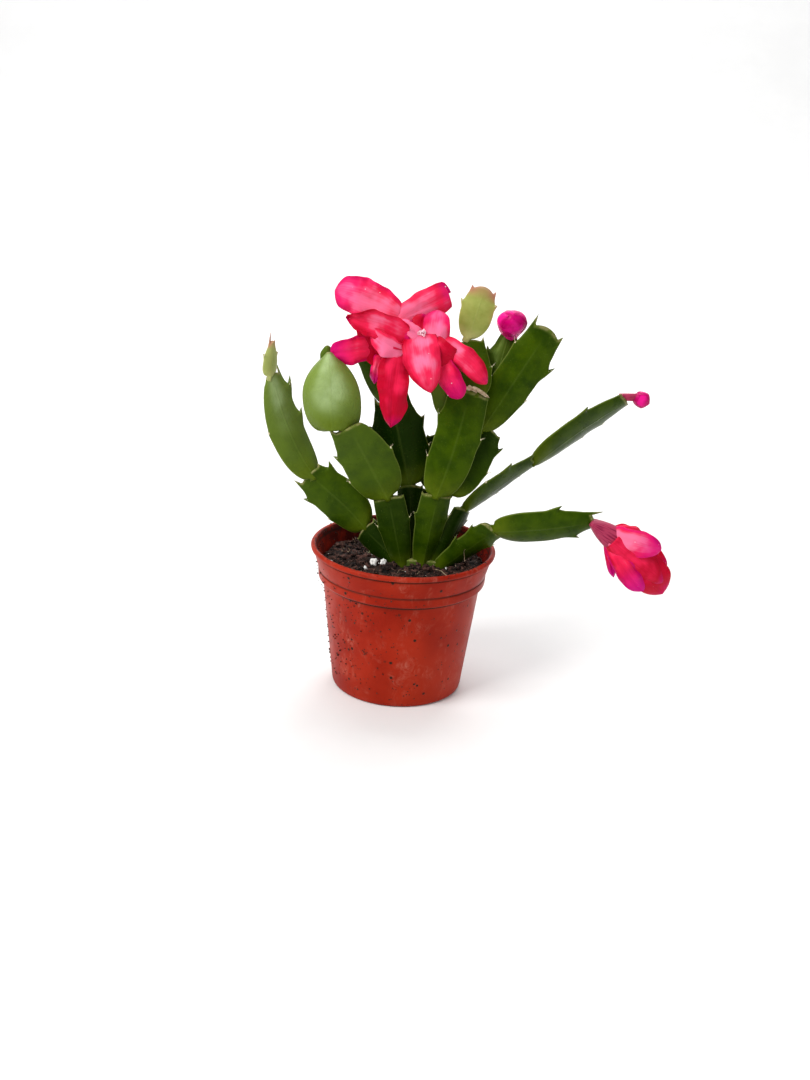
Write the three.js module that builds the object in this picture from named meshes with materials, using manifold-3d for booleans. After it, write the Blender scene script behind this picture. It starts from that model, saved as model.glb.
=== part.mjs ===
// A small Christmas cactus (Schlumbergera truncata) in a thin plastic nursery pot.
// Millimetres, +Z up. The origin is the middle of the pot's flat underside, and the
// plant is seen from the front, from -Y.
import * as THREE from 'three';
import { mergeVertices } from 'three/addons/utils/BufferGeometryUtils.js';
import Module from 'manifold-3d';

const wasm = await Module();
wasm.setup();

// ---------------------------------------------------------------- driving dimensions
const CLEARANCE = 0.35; // between two pieces that touch
const JOINT_CLEARANCE = 0.65; // from a segment's rings to the neighbour cut to clear it
const POT = {
  height: 48.4,
  baseRadius: 21.5,
  wall: 0.9,
  floor: 1.4,
  stepZ: 36.6, // where the tapered wall meets the band
  stepRadius: 25.7,
  bandRadiusLow: 27.2,
  bandRadiusHigh: 28.9,
  ridge: 3.6, // how far the band's fine ridge stands above the step
  lipRadius: 30,
  lipHeight: 1.6,
  sides: 36,
};
const DRAIN = { count: 6, radius: 2.2, circle: 14.5, sides: 10 };
const SOIL = {
  level: 42,
  floorZ: 1.9,
  shoulderZ: 35, // where its side leaves the tapered wall for the band
  rings: [22, 17.5, 13, 8.5, 4],
  heap: 1.5, // how much higher it lies along the front of the wall
  crumbs: 30,
  crumbReach: 24,
  crumbSize: [0.5, 1.25],
  seed: 7,
};
const PERLITE = [
  { name: 'perlite_large', at: [-9.2, -4.8], size: 1.35 },
  { name: 'perlite_middle', at: [-6.2, -3.9], size: 1.2 },
  { name: 'perlite_small', at: [-11.6, -9.6], size: 0.95 },
];
// A tooth rises over this share of the margin and stands out, ahead and back by these
// shares of its size.
const TOOTH = { run: 0.13, out: 0.75, ahead: 0.9, notch: 0.3, fade: 0.6, hornRun: 0.06 };
const COLOURS = {
  pot: 0xb5412c,
  soil: 0x2a1b16,
  perlite: 0xf1ede8,
  base: 0x2c5212,
  stem: 0x3d5f10,
  young: 0x9aa84a,
  petal: 0xe8174f,
  stamen: 0xf6cdd8,
  bud: 0xe0127a,
};

// ---------------------------------------------------------------- the plant, joint by joint
// A segment runs from one joint to the next. width is its full width in its own plane,
// facing turns its flat face about its length (0 shows the face to the front), bow arches
// it out of its plane, sway bends it within it, cup rolls its margins back. neck and end are
// its half widths at the two ends and belly where it is widest, for a half width of 1: one
// number, or one for the left margin and one for the right. rise is 0.5 for a round base and
// 1 for a wedge. teeth are [place along the
// margin, size] for the left and the right margin, and horns how far the two corners of its
// cut end stand ahead.
const SEGMENT = {
  thick: 2.6, neck: 0.24, end: 0.62, belly: 0.42, keel: 0.62, columns: 8, rows: 6,
  facing: 0, bow: 0, sway: 0, cup: 0.6, rise: 0.5, teeth: [[], []], horns: [1, 1],
};
const BASAL = {
  thick: 3.6, neck: 0.42, end: 0.96, belly: 0.85, rise: 0.8, keel: 0.5, horns: [1.2, 1], columns: 6,
  rows: 4,
};
const STEM_BASE = [
  { ...BASAL, from: [6.2, -2, 24], to: [6.2, -2, 43.6], width: 17, thick: 7.4, neck: 0.6, keel: 0.8,
    cup: 0, horns: [0, 0] },
  { ...BASAL, from: [0, -2, 42], to: [-12.2, 2.6, 51.4], width: 9, horns: [0.6, 1.2],
    teeth: [[[0.62, 1]], [[0.7, 0.9]]] },
  { ...BASAL, from: [0, -3, 42], to: [-5.4, -3, 64.2], width: 10.2, horns: [0.6, 0.8],
    teeth: [[[0.6, 0.8]], [[0.66, 0.9]]] },
  { ...BASAL, from: [3, -1, 42], to: [1.2, 4.8, 66], width: 8.5, teeth: [[], [[0.6, 0.9]]] },
  { ...BASAL, from: [5, -1, 40], to: [9.4, 7, 64.2], width: 8.5, horns: [0.5, 0.5] },
  { ...BASAL, from: [6, -3, 42], to: [9.6, -4, 66.3], width: 10, thick: 4.6, keel: 0.36, facing: 12,
    teeth: [[[0.7, 1.2]], [[0.72, 0.9]]] },
  { ...BASAL, from: [10, -2.4, 42], to: [18.5, 2.6, 59.7], width: 8, facing: 38, horns: [0.2, 0.8],
    teeth: [[[0.42, 1.1], [0.74, 1]], [[0.86, 1]]] },
  { ...BASAL, from: [10.8, -3, 41.4], to: [27.6, -8, 57.4], width: 8.6, facing: 14,
    teeth: [[[0.5, 1.9], [0.8, 1.8]], [[0.82, 1.8]]], horns: [-0.8, 4.4] },
];
const BRANCHES = {
  branch_far_left: [
    { from: [-12.7, 2.9, 52.2], to: [-31, 5, 68], width: 14.4, sway: 0.9, belly: [0.6, 0.42],
      horns: [3, 1.4], end: [0.7, 0.62],
      teeth: [[[0.4, 0.7], [0.79, 1.8]], [[0.47, 0.9], [0.88, 2.4]]] },
    { from: [-30.4, 5, 67.6], to: [-44.9, 13, 98.2], width: 12.6, facing: 38, sway: -1.4, bow: -1.4,
      end: [0.4, 0.55], horns: [-0.8, 5.4], teeth: [[[0.5, 0.4]], [[0.58, 2.4], [0.86, 3.6]]] },
  ],
  branch_left: [
    { from: [-5.9, -3.4, 65.1], to: [-18.5, -7, 88.4], width: 16.4, end: [0.76, 0.46],
      horns: [2.4, -0.4], teeth: [[[0.34, 0.7], [0.69, 1.7]], [[0.53, 0.9]]] },
    { from: [-18.6, -6.3, 86.6], to: [-21, -5.4, 92], width: 4.6, thick: 3, neck: 0.8, end: 0.8,
      horns: [0, 0], columns: 6, rows: 2 },
    { from: [-23.8, -6.2, 86.7], to: [-26.2, 0.6, 109.6], width: 18.2, thick: 5.6, neck: [0.42, 0.6],
      belly: [0.42, 0.36], end: 0.17, keel: 0.9, cup: 2.8, bow: 1.6, horns: [0, 0] },
    { from: [-26.8, 2, 106.6], to: [-27.2, 2.4, 110.8], width: 6, thick: 1.8, neck: 0.9, end: 0.6,
      belly: 0.5, horns: [0, 0], columns: 6, rows: 2 },
  ],
  branch_back: [
    { from: [0.9, 5.2, 66.7], to: [-6.2, 8, 93.4], width: 17, horns: [2.4, 4],
      teeth: [[[0.4, 0.7], [0.72, 1.4]], [[0.4, 0.8], [0.73, 2.6]]] },
    { from: [-7, 8, 93], to: [-14, 10.4, 113.4], width: 12.4, facing: -12, horns: [2, 1],
      belly: [0.66, 0.5], teeth: [[[0.7, 0.8]], [[0.5, 0.8]]] },
  ],
  branch_behind: [
    { from: [9.7, 7.4, 64.9], to: [9.6, 13, 81], width: 12.5, horns: [1, 1],
      teeth: [[[0.7, 1]], [[0.5, 1.2]]] },
  ],
  branch_centre: [
    { from: [9.6, -5, 66.9], to: [17.6, 0.6, 99.2], width: 14.2, sway: 0.8, end: [0.86, 0.92],
      neck: [0.3, 0.2], keel: 0.7, horns: [0.6, 0.8], teeth: [[[0.32, 0.5], [0.73, 2]], [[0.6, 0.9]]] },
    { from: [12, 0.8, 91.4], to: [8.6, 5, 105], width: 8.2, thick: 2, horns: [0.8, 0.8],
      teeth: [[[0.6, 0.6]], [[0.7, 0.6]]] },
    { from: [20, 1, 98.6], to: [17.4, 12, 112.6], width: 11.5, end: 0.8, horns: [1, 2.2],
      teeth: [[[0.6, 1]], [[0.5, 1]]] },
  ],
  branch_right: [
    { from: [13.4, -1.6, 67], to: [25, 5, 86.2], width: 13.4, facing: -16, horns: [1.4, 0.6],
      teeth: [[[0.5, 1]], [[0.5, 0.6], [0.84, 2]]] },
    { from: [22.6, 4.2, 86.8], to: [40.6, 8, 117.6], width: 13.4, end: 0.8, belly: [0.5, 0.62],
      horns: [4.4, 2.6], neck: [0.24, 0.16],
      teeth: [[[0.42, 0.5], [0.78, 0.8]], [[0.4, 0.5], [0.73, 2.8]]] },
    { from: [23, 5.6, 86.6], to: [30.4, 17.4, 116.6], width: 10.5, facing: -10, horns: [0.4, 0.6], end: 0.4,
      teeth: [[[0.47, 1.4], [0.74, 2.2]], [[0.56, 1]]] },
  ],
  branch_far_right: [
    { from: [18.9, 2.8, 60.4], to: [40, 11, 74.6], width: 12.5, facing: 52, sway: -1, horns: [2.8, 0.6],
      teeth: [[[0.34, 0.6], [0.68, 1.9]], [[0.45, 0.8], [0.8, 0.9]]] },
    { from: [40.8, 11, 75], to: [68.6, 17, 95.2], width: 13.5, facing: 45, sway: -1.7, horns: [0.6, 1.6],
      teeth: [[[0.62, 2]], [[0.5, 0.8], [0.72, 0.9]]] },
  ],
  branch_low_right: [
    { from: [28.4, -8.2, 58], to: [58, -12, 63.8], width: 11.6, facing: 16, horns: [4.2, 0.4], end: 0.5,
      bow: 1, teeth: [[[0.66, 2.2]], [[0.81, 1.6]]] },
  ],
};
const YOUNG = { thick: 1.5, neck: 0.26, keel: 0.7, cup: 0.4, rows: 5 };
const YOUNG_SEGMENTS = {
  young_segment_left: { ...YOUNG, from: [-45.7, 12, 98.4], to: [-45, 13, 108.8], width: 7.4,
    facing: 48, end: 0.36, belly: 0.3, horns: [3.8, 1.6], teeth: [[[0.62, 1]], [[0.7, 0.4]]] },
  young_segment_top: { ...YOUNG, from: [16.6, 12.4, 114.4], to: [20.6, 15, 128.4], width: 10.6,
    end: 0.74, belly: [0.6, 0.5], rise: 0.7, sway: 0.2, horns: [1.9, 1.3],
    teeth: [[[0.7, 1.5]], [[0.8, 1.1]]] },
};

// ---------------------------------------------------------------- blooms and buds
const PETAL = {
  thick: 1.1, neck: 0.5, end: 0.26, belly: 0.55, keel: 1, cup: 0.8, horns: [0, 0], rows: 5, columns: 6,
};
const TUBE = {
  neck: 0.62, end: 0.9, belly: 0.7, keel: 0.87, cup: 0, horns: [0, 0], rows: 4, columns: 8,
};
const OPEN_FLOWER = [
  { ...TUBE, from: [-14.6, 8.4, 114.6], to: [-0.6, -3.4, 118.4], width: 8.4, thick: 8.4 }, // tube
  { ...PETAL, from: [-5, 0.8, 123.2], to: [-25.7, 5, 128.4], width: 12.2, neck: 0.3, end: [0.74, 0.86],
    belly: 0.6, bow: 1.2, sway: 0.8 }, // the back tier's two upright petals
  { ...PETAL, from: [-5.2, 0.6, 121.6], to: [9.8, 4, 129.4], width: 9.4, neck: 0.35, end: [0.96, 0.9],
    belly: [0.6, 0.8], bow: 1.2, horns: [1.8, 0] },
  { ...PETAL, from: [-12.4, 3.2, 112], to: [-25.6, 0, 109.6], width: 8.2, neck: 0.8, bow: 1.4, end: 0.6 },
  { ...PETAL, from: [-15.4, 3, 122], to: [-10.4, 1.6, 105.6], width: 8.6, end: 0.3, neck: 0.8, cup: -0.6 },
  { ...PETAL, from: [-10.8, 1.7, 109.6], to: [-12, 3.2, 99.8], width: 4, bow: 0.6 },
  { ...PETAL, from: [-4.8, -1.4, 114], to: [-6, -5.4, 88.6], width: 9.8, bow: 2.4, end: 0.2,
    belly: [0.7, 0.42], sway: 0.5 }, // hanging
  { ...PETAL, from: [-1.8, -4.4, 117.8], to: [-21.4, 0, 121.6], width: 11.4, bow: 1.8, sway: 1.9,
    end: 0.1, neck: 0.75, belly: 0.3, cup: -1.6, facing: -24 }, // the front tier, from the left
  { ...PETAL, from: [-3, -3.4, 112.6], to: [-13.8, -2.2, 118.4], width: 7, bow: 1.6, end: 0.4, neck: 0.8,
    belly: 0.4, cup: -1, facing: -20 },
  { ...PETAL, from: [5.8, -4, 114.2], to: [6.8, -2, 125.4], width: 8.2, bow: 1.8, end: 0.6, neck: 0.8 },
  { ...PETAL, from: [1, -3, 116.6], to: [2.6, -2, 124], width: 6.6, bow: 1, end: 0.5, neck: 0.8 },
  { ...PETAL, from: [3, -4.6, 116], to: [-4.4, -4, 122.4], width: 4.4, bow: 1.4, end: 0.4, neck: 0.7,
    facing: 20 },
  { ...PETAL, from: [7.6, -4.4, 116.4], to: [22.8, -6, 104.2], width: 7.4, bow: 2.6, sway: -1.6, end: 0.26 },
  { ...PETAL, from: [4.6, -5, 116], to: [13.2, -6.6, 109.6], width: 8.4, bow: 2.2, end: 0.35 },
  { ...PETAL, from: [6.4, -5, 113.4], to: [15.2, -8, 99.8], width: 7.4, belly: 0.7, bow: 2, end: 0.5 },
  { ...PETAL, from: [1, -5, 117.8], to: [5.7, -10, 101.6], width: 11.6, bow: 3.4, end: 0.12, neck: 0.8,
    belly: 0.34 },
];
const STAMENS = { count: 7, length: 5.5, radius: 0.4, spread: 1.1, sides: 4 };
const HALF_OPEN_FLOWER = [
  { ...TUBE, from: [58, -12.2, 63.8], to: [68.4, -13, 57.2], width: 8.2, thick: 7.4, neck: 0.22,
    belly: 0.99, end: 1, rise: 1 }, // tube
  { ...TUBE, from: [65.4, -12.6, 58.8], to: [82.6, -13, 45.4], width: 10, thick: 8.4, neck: 0.66,
    belly: 0.5, end: 0.5 }, // the inner petals, still closed
  { ...PETAL, from: [66, -9.4, 59.4], to: [84.2, -9, 48], width: 8.6, bow: -1.2, end: 0.4 },
  { ...PETAL, from: [69.6, -12.8, 57.2], to: [83.2, -13.6, 40.8], width: 11.6, belly: 0.6, bow: 1.6,
    end: 0.4, sway: -0.9 },
  { ...PETAL, from: [64.6, -10.6, 61], to: [75.6, -9.4, 60.7], width: 3.6, bow: 1, facing: -50 },
  { ...PETAL, from: [65, -14.2, 57.6], to: [76.4, -16.2, 42.6], width: 6.4, bow: 2, end: 0.4, neck: 0.7,
    sway: 0.9 },
  { ...PETAL, from: [65, -14, 60.3], to: [80, -17.6, 57.6], width: 8.6, bow: 1.8, sway: -0.2, end: 0.3 },
  { ...PETAL, from: [62.4, -14.2, 60.2], to: [71.2, -16, 53.6], width: 5.2, bow: 0.8, end: 0.24, neck: 0.4 },
  { ...PETAL, from: [63.6, -13.4, 57], to: [67, -14.4, 46], width: 2.9, bow: 0.5, end: 0.45 },
];
const ROUND_BUD = [
  { ...TUBE, from: [30.4, 16.4, 117.6], to: [30.2, 9.4, 122.6], width: 9.4, thick: 9.4, neck: 0.56,
    belly: 0.55, end: 0.6, rows: 6 },
];
const SMALL_BUD = [
  { ...TUBE, from: [68.4, 16.8, 97], to: [73.2, 16.6, 97.2], width: 2.6, thick: 2.4, neck: 0.8, end: 1,
    belly: 0.9, rows: 2, columns: 6 },
  { ...TUBE, from: [72.2, 16.6, 97.4], to: [77, 16.6, 95.4], width: 4.9, thick: 4.7, neck: 0.5,
    belly: 0.6, end: 0.5, rows: 4 },
];

// ---------------------------------------------------------------- solids
// The closed surface of a geometry as a solid that can be joined and cut.
function solidOf(geometry) {
  const bare = geometry.clone();
  bare.deleteAttribute('normal');
  bare.deleteAttribute('uv');
  const merged = mergeVertices(bare, 1e-4);
  return new wasm.Manifold(
    new wasm.Mesh({
      numProp: 3,
      vertProperties: new Float32Array(merged.attributes.position.array),
      triVerts: new Uint32Array(merged.index.array),
    }),
  );
}

// The largest body of a solid, without loose scraps or sealed hollows.
function wholeOf(solid) {
  const bodies = solid.decompose().sort((a, b) => b.volume() - a.volume());
  return bodies[0];
}

// A named mesh with flat-shaded faces from a solid.
function meshOf(name, solid, colour, roughness) {
  const { vertProperties, triVerts, numProp } = solid.getMesh();
  const points = new Float32Array((vertProperties.length / numProp) * 3);
  for (let i = 0; i < points.length / 3; i++) {
    points.set(vertProperties.subarray(i * numProp, i * numProp + 3), i * 3);
  }
  const geometry = new THREE.BufferGeometry();
  geometry.setAttribute('position', new THREE.BufferAttribute(points, 3));
  geometry.setIndex(new THREE.BufferAttribute(triVerts, 1));
  geometry.computeVertexNormals();
  const material = new THREE.MeshStandardMaterial({ color: colour, roughness, metalness: 0 });
  const mesh = new THREE.Mesh(geometry, material);
  mesh.name = name;
  return mesh;
}

// ---------------------------------------------------------------- blades
// One margin at v along its length: how far the teeth push it out and ahead.
function marginOf(teeth, horn, v) {
  let out = 0;
  let ahead = horn * Math.max(0, (v - 1) / TOOTH.hornRun + 1);
  for (const [place, size] of teeth) {
    const ramp = (v - place) / TOOTH.run + 1;
    const past = ramp - 1;
    if (ramp > 0 && ramp <= 1.001) {
      out += size * TOOTH.out * ramp * ramp;
      ahead += size * TOOTH.ahead * ramp ** 4;
    } else if (past > 0 && past < TOOTH.fade) {
      out -= size * TOOTH.notch * (1 - past / TOOTH.fade);
    }
  }
  return { out, ahead };
}

// A value given for both margins, or one for each.
function sideOf(value, right) {
  return Array.isArray(value) ? value[right ? 1 : 0] : value;
}

// Half the width at v, from the neck through the belly to the cut end, for a width of 2.
function outlineOf(spec, v, right) {
  const neck = sideOf(spec.neck, right);
  const end = sideOf(spec.end, right);
  const belly = sideOf(spec.belly, right);
  if (v < belly) {
    const u = v / belly;
    return neck + (1 - neck) * (1 - (1 - u) ** 2.2) ** spec.rise;
  }
  const u = (v - belly) / (1 - belly);
  return 1 - (1 - end) * u ** 2.2;
}

// The rows of a blade: even steps, and one at each tooth's foot, tip and notch.
function rowsOf({ teeth, rows }) {
  const places = [0.03];
  for (let i = 0; i <= rows; i++) places.push(i / rows);
  for (const [place] of teeth.flat()) places.push(place - 0.06, place, place + 0.025);
  places.sort((a, b) => a - b);
  const kept = [];
  for (const v of places) {
    if (v <= 1 && (kept.length === 0 || v - kept.at(-1) > 0.012)) kept.push(v);
  }
  if (kept.at(-1) < 1) kept.push(1);
  return kept;
}

// The places round a blade's section: [across from -1 to 1, front 1 or back -1].
const SECTIONS = {
  6: [[-1, 0], [-0.45, 1], [0.45, 1], [1, 0], [0.45, -1], [-0.45, -1]],
  8: [[-1, 0], [-0.5, 1], [0, 1], [0.5, 1], [1, 0], [0.5, -1], [0, -1], [-0.5, -1]],
};

// A closed blade, lofted ring by ring along its bowed line. grow makes it larger all over.
function bladeOf(given, grow = 0) {
  const spec = { ...SEGMENT, ...given };
  const from = new THREE.Vector3(...spec.from);
  const to = new THREE.Vector3(...spec.to);
  const along = to.clone().sub(from);
  const length = along.length();
  along.normalize();
  const face = new THREE.Vector3(0, -1, 0);
  face.addScaledVector(along, -face.dot(along)).normalize();
  face.applyAxisAngle(along, THREE.MathUtils.degToRad(spec.facing));
  const side = along.clone().cross(face);
  const columns = SECTIONS[spec.columns];
  const rows = rowsOf(spec);
  const place = (v, u, lift, ahead, half) => {
    const arch = 4 * v * (1 - v);
    return from.clone()
      .addScaledVector(along, v * length + ahead)
      .addScaledVector(side, u * half + spec.sway * arch)
      .addScaledVector(face, lift + spec.bow * arch - spec.cup * u * u);
  };
  const points = [];
  for (const v of rows) {
    const thin = (spec.thick / 2) * (1 - 0.35 * v) + grow;
    const stretch = v === 0 ? -grow : v === 1 ? grow : 0;
    for (const [u, way] of columns) {
      const right = u > 0;
      const half = (spec.width / 2) * outlineOf(spec, v, right) + grow;
      const margin = marginOf(sideOf(spec.teeth, right), sideOf(spec.horns, right), v);
      const reach = Math.abs(u) === 1 ? 1 : 0;
      const lift = way * thin * (u === 0 ? 1 : spec.keel);
      points.push(place(v, u, lift, stretch + margin.ahead * reach, half + margin.out * Math.abs(u)));
    }
  }
  const around = columns.length;
  const last = (rows.length - 1) * around;
  const index = [];
  for (let ring = 0; ring < last; ring += around) {
    for (let c = 0; c < around; c++) {
      const a = ring + c;
      const b = ring + ((c + 1) % around);
      index.push(a, b, a + around, b, b + around, a + around);
    }
  }
  points.push(place(0, 0, 0, -grow, 0), place(1, 0, 0, grow, 0));
  for (let c = 0; c < around; c++) {
    const next = (c + 1) % around;
    index.push(last + around, next, c);
    index.push(last + around + 1, last + c, last + next);
  }
  const geometry = new THREE.BufferGeometry();
  geometry.setFromPoints(points);
  geometry.setIndex(index);
  return solidOf(geometry);
}

// Several blades grown together as one solid, kept clear of the neighbours it grows from.
function fusedOf(name, specs, neighbours = []) {
  const joined = specs.map((spec) => bladeOf(spec)).reduce((all, one) => all.add(one));
  if (joined.decompose().length > 1) throw new Error(`${name} is in pieces`);
  return wholeOf(neighbours.reduce((rest, spec) => rest.subtract(bladeOf(spec, JOINT_CLEARANCE)), joined));
}

// ---------------------------------------------------------------- pot and soil
// The thin wall, spun from its outline, with round drain holes in its floor.
function potSolid() {
  const { height, wall, floor, baseRadius, stepZ, stepRadius, bandRadiusLow, bandRadiusHigh } = POT;
  const { lipRadius, lipHeight } = POT;
  const lipLow = height - lipHeight;
  const outline = [
    [0, 0], [baseRadius - 1.2, 0], [baseRadius - 0.3, 0.4], [baseRadius, 1.4],
    [stepRadius, stepZ], [bandRadiusLow - 0.3, stepZ + 0.4], [bandRadiusLow, stepZ + 0.9],
    [bandRadiusLow + 0.1, stepZ + POT.ridge - 0.4], [bandRadiusLow - 0.05, stepZ + POT.ridge],
    [bandRadiusHigh, lipLow - 0.3], [lipRadius - 0.2, lipLow], [lipRadius, lipLow + 0.8],
    [lipRadius - 0.4, height - 0.2], [lipRadius - 0.9, height], [lipRadius - 1.6, height - 0.3],
    [bandRadiusHigh - wall, lipLow], [bandRadiusLow - wall, stepZ + 1.6],
    [stepRadius - wall, stepZ - 0.4], [baseRadius - wall, floor + 0.6],
    [baseRadius - wall - 0.6, floor], [0, floor],
  ].map(([r, z]) => new THREE.Vector2(r, z));
  const shell = new THREE.LatheGeometry(outline, POT.sides).rotateX(Math.PI / 2);
  let pot = solidOf(shell);
  if (pot.volume() < 0) throw new Error('the pot is inside out');
  for (let i = 0; i < DRAIN.count; i++) {
    const angle = (2 * Math.PI * (i + 0.5)) / DRAIN.count;
    const hole = new THREE.CylinderGeometry(DRAIN.radius, DRAIN.radius, 4 * floor, DRAIN.sides)
      .rotateX(Math.PI / 2)
      .translate(DRAIN.circle * Math.cos(angle), DRAIN.circle * Math.sin(angle), 0);
    pot = pot.subtract(solidOf(hole));
  }
  return pot;
}

// The height of the soil's uneven top over a point, heaped along the front of the wall.
function soilHeight(x, y) {
  const lumps = 0.45 * Math.sin(x * 0.55 + 1.3) * Math.cos(y * 0.48) + 0.3 * Math.sin(x * 0.9 - y * 0.8);
  const slope = 0.025 * x - 0.03 * y;
  const outer = THREE.MathUtils.clamp((Math.hypot(x, y) - 17) / 8, 0, 1);
  const front = THREE.MathUtils.clamp((6 - y) / 20, 0, 1);
  return SOIL.level + lumps + slope + SOIL.heap * outer * front;
}

// A repeatable sequence of numbers from 0 to 1.
function drawsFrom(seed) {
  let state = seed;
  return () => {
    state = (state * 48271) % 2147483647;
    return state / 2147483647;
  };
}

// The soil, which fills the pot up to its band, with a few loose crumbs on top.
function soilSolid() {
  const { level, floorZ, shoulderZ } = SOIL;
  const side = (z) => {
    const share = (z - POT.floor) / (POT.stepZ - POT.floor);
    const tapered = POT.baseRadius + (POT.stepRadius - POT.baseRadius) * share;
    return tapered - POT.wall - CLEARANCE;
  };
  const topRadius = POT.bandRadiusLow - POT.wall - 1;
  const outline = [
    [0, floorZ], [side(floorZ) - 1, floorZ], [side(floorZ + 2), floorZ + 2],
    [side(shoulderZ), shoulderZ], [side(shoulderZ), shoulderZ + 2], [topRadius, POT.stepZ + 2],
    [topRadius, level], ...SOIL.rings.map((r) => [r, level]), [0, level],
  ];
  const points = outline.map(([r, z]) => new THREE.Vector2(r, z));
  const body = new THREE.LatheGeometry(points, POT.sides).rotateX(Math.PI / 2);
  const place = body.attributes.position;
  for (let i = 0; i < place.count; i++) {
    if (place.getZ(i) > level - 0.1) place.setZ(i, soilHeight(place.getX(i), place.getY(i)));
  }
  let soil = solidOf(body);
  const draw = drawsFrom(SOIL.seed);
  const [small, large] = SOIL.crumbSize;
  for (let i = 0; i < SOIL.crumbs; i++) {
    const radius = SOIL.crumbReach * Math.sqrt(draw());
    const angle = 2 * Math.PI * draw();
    const size = small + (large - small) * draw();
    const x = radius * Math.cos(angle);
    const y = radius * Math.sin(angle);
    const crumb = new THREE.OctahedronGeometry(size)
      .rotateX(draw() * 3)
      .rotateZ(draw() * 3)
      .translate(x, y, soilHeight(x, y) + 0.1);
    soil = soil.add(solidOf(crumb));
  }
  for (const spec of STEM_BASE) soil = soil.subtract(bladeOf(spec, JOINT_CLEARANCE));
  return wholeOf(soil);
}

// One white grain that lies on the soil.
function perliteSolid({ at: [x, y], size }) {
  const grain = new THREE.IcosahedronGeometry(size, 0);
  grain.rotateX(size).rotateZ(x).scale(1, 0.85, 0.9);
  grain.translate(x, y, soilHeight(x, y) + size * 0.8 + CLEARANCE);
  return solidOf(grain);
}

// ---------------------------------------------------------------- stamens in the flower's throat
// grow makes them thicker, for the room that the petals leave round them.
function stamenSolid(grow = 0) {
  const throat = new THREE.Vector3(...OPEN_FLOWER[0].to);
  const along = throat.clone().sub(new THREE.Vector3(...OPEN_FLOWER[0].from)).normalize();
  const start = throat.clone().addScaledVector(along, CLEARANCE - grow);
  const upright = new THREE.Quaternion().setFromUnitVectors(new THREE.Vector3(0, 1, 0), along);
  const disc = STAMENS.spread + STAMENS.radius + grow;
  const parts = [new THREE.CylinderGeometry(disc, disc, 0.8 + 2 * grow, 8).translate(0, 0.4 + grow, 0)];
  for (let i = 0; i < STAMENS.count; i++) {
    const angle = (2 * Math.PI * i) / (STAMENS.count - 1);
    const outer = i < STAMENS.count - 1;
    const spread = outer ? STAMENS.spread : 0;
    const long = STAMENS.length * (outer ? 0.7 + 0.04 * i : 1) + 2 * grow;
    const radius = STAMENS.radius + grow;
    const filament = new THREE.CylinderGeometry(radius * 1.2, radius, long, STAMENS.sides)
      .translate(spread * Math.cos(angle), long / 2 + 0.2, spread * Math.sin(angle));
    parts.push(filament);
  }
  const solids = parts.map((g) => solidOf(g.applyQuaternion(upright).translate(start.x, start.y, start.z)));
  return wholeOf(solids.reduce((all, one) => all.add(one)));
}

// ---------------------------------------------------------------- the model
const model = new THREE.Group();
model.add(meshOf('pot', potSolid(), COLOURS.pot, 0.45));
model.add(meshOf('soil', soilSolid(), COLOURS.soil, 0.95));
for (const grain of PERLITE) {
  model.add(meshOf(grain.name, perliteSolid(grain), COLOURS.perlite, 0.9));
}
model.add(meshOf('stem_base', fusedOf('stem_base', STEM_BASE), COLOURS.base, 0.5));
for (const [name, specs] of Object.entries(BRANCHES)) {
  model.add(meshOf(name, fusedOf(name, specs, STEM_BASE), COLOURS.stem, 0.45));
}
const SEGMENTS = Object.values(BRANCHES).flat();
for (const [name, spec] of Object.entries(YOUNG_SEGMENTS)) {
  model.add(meshOf(name, fusedOf(name, [spec], SEGMENTS), COLOURS.young, 0.5));
}
const openFlower = fusedOf('open_flower', OPEN_FLOWER, SEGMENTS).subtract(stamenSolid(CLEARANCE));
model.add(meshOf('open_flower', wholeOf(openFlower), COLOURS.petal, 0.5));
model.add(meshOf('flower_stamens', stamenSolid(), COLOURS.stamen, 0.6));
const halfOpen = fusedOf('half_open_flower', HALF_OPEN_FLOWER, SEGMENTS);
model.add(meshOf('half_open_flower', halfOpen, COLOURS.petal, 0.5));
model.add(meshOf('round_bud', fusedOf('round_bud', ROUND_BUD, SEGMENTS), COLOURS.bud, 0.3));
model.add(meshOf('small_bud', fusedOf('small_bud', SMALL_BUD, SEGMENTS), COLOURS.bud, 0.35));

export default model;
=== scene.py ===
"""A small Christmas cactus in bloom, in a thin plastic nursery pot, dressed round its CAD frame."""
import logging
import math
import random
from dataclasses import dataclass
from enum import Enum

import bmesh
import bpy
from mathutils import Matrix, Vector, noise


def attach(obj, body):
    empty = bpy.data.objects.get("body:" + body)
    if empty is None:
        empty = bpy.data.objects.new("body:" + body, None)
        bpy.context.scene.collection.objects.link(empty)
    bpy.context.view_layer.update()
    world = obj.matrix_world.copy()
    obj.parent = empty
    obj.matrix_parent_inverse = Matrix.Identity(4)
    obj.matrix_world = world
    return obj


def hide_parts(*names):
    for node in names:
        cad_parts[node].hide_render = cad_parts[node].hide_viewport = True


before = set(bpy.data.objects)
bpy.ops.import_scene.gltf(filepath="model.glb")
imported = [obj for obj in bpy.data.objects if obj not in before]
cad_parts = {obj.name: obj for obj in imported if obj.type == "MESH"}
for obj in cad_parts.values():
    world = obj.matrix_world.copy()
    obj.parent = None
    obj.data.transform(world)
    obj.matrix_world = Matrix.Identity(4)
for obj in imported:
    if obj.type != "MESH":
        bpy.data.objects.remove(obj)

LOG = logging.getLogger("christmas_cactus")
MM = 0.001
LAYERS = ("across", "along", "tone", "flush")

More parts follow.
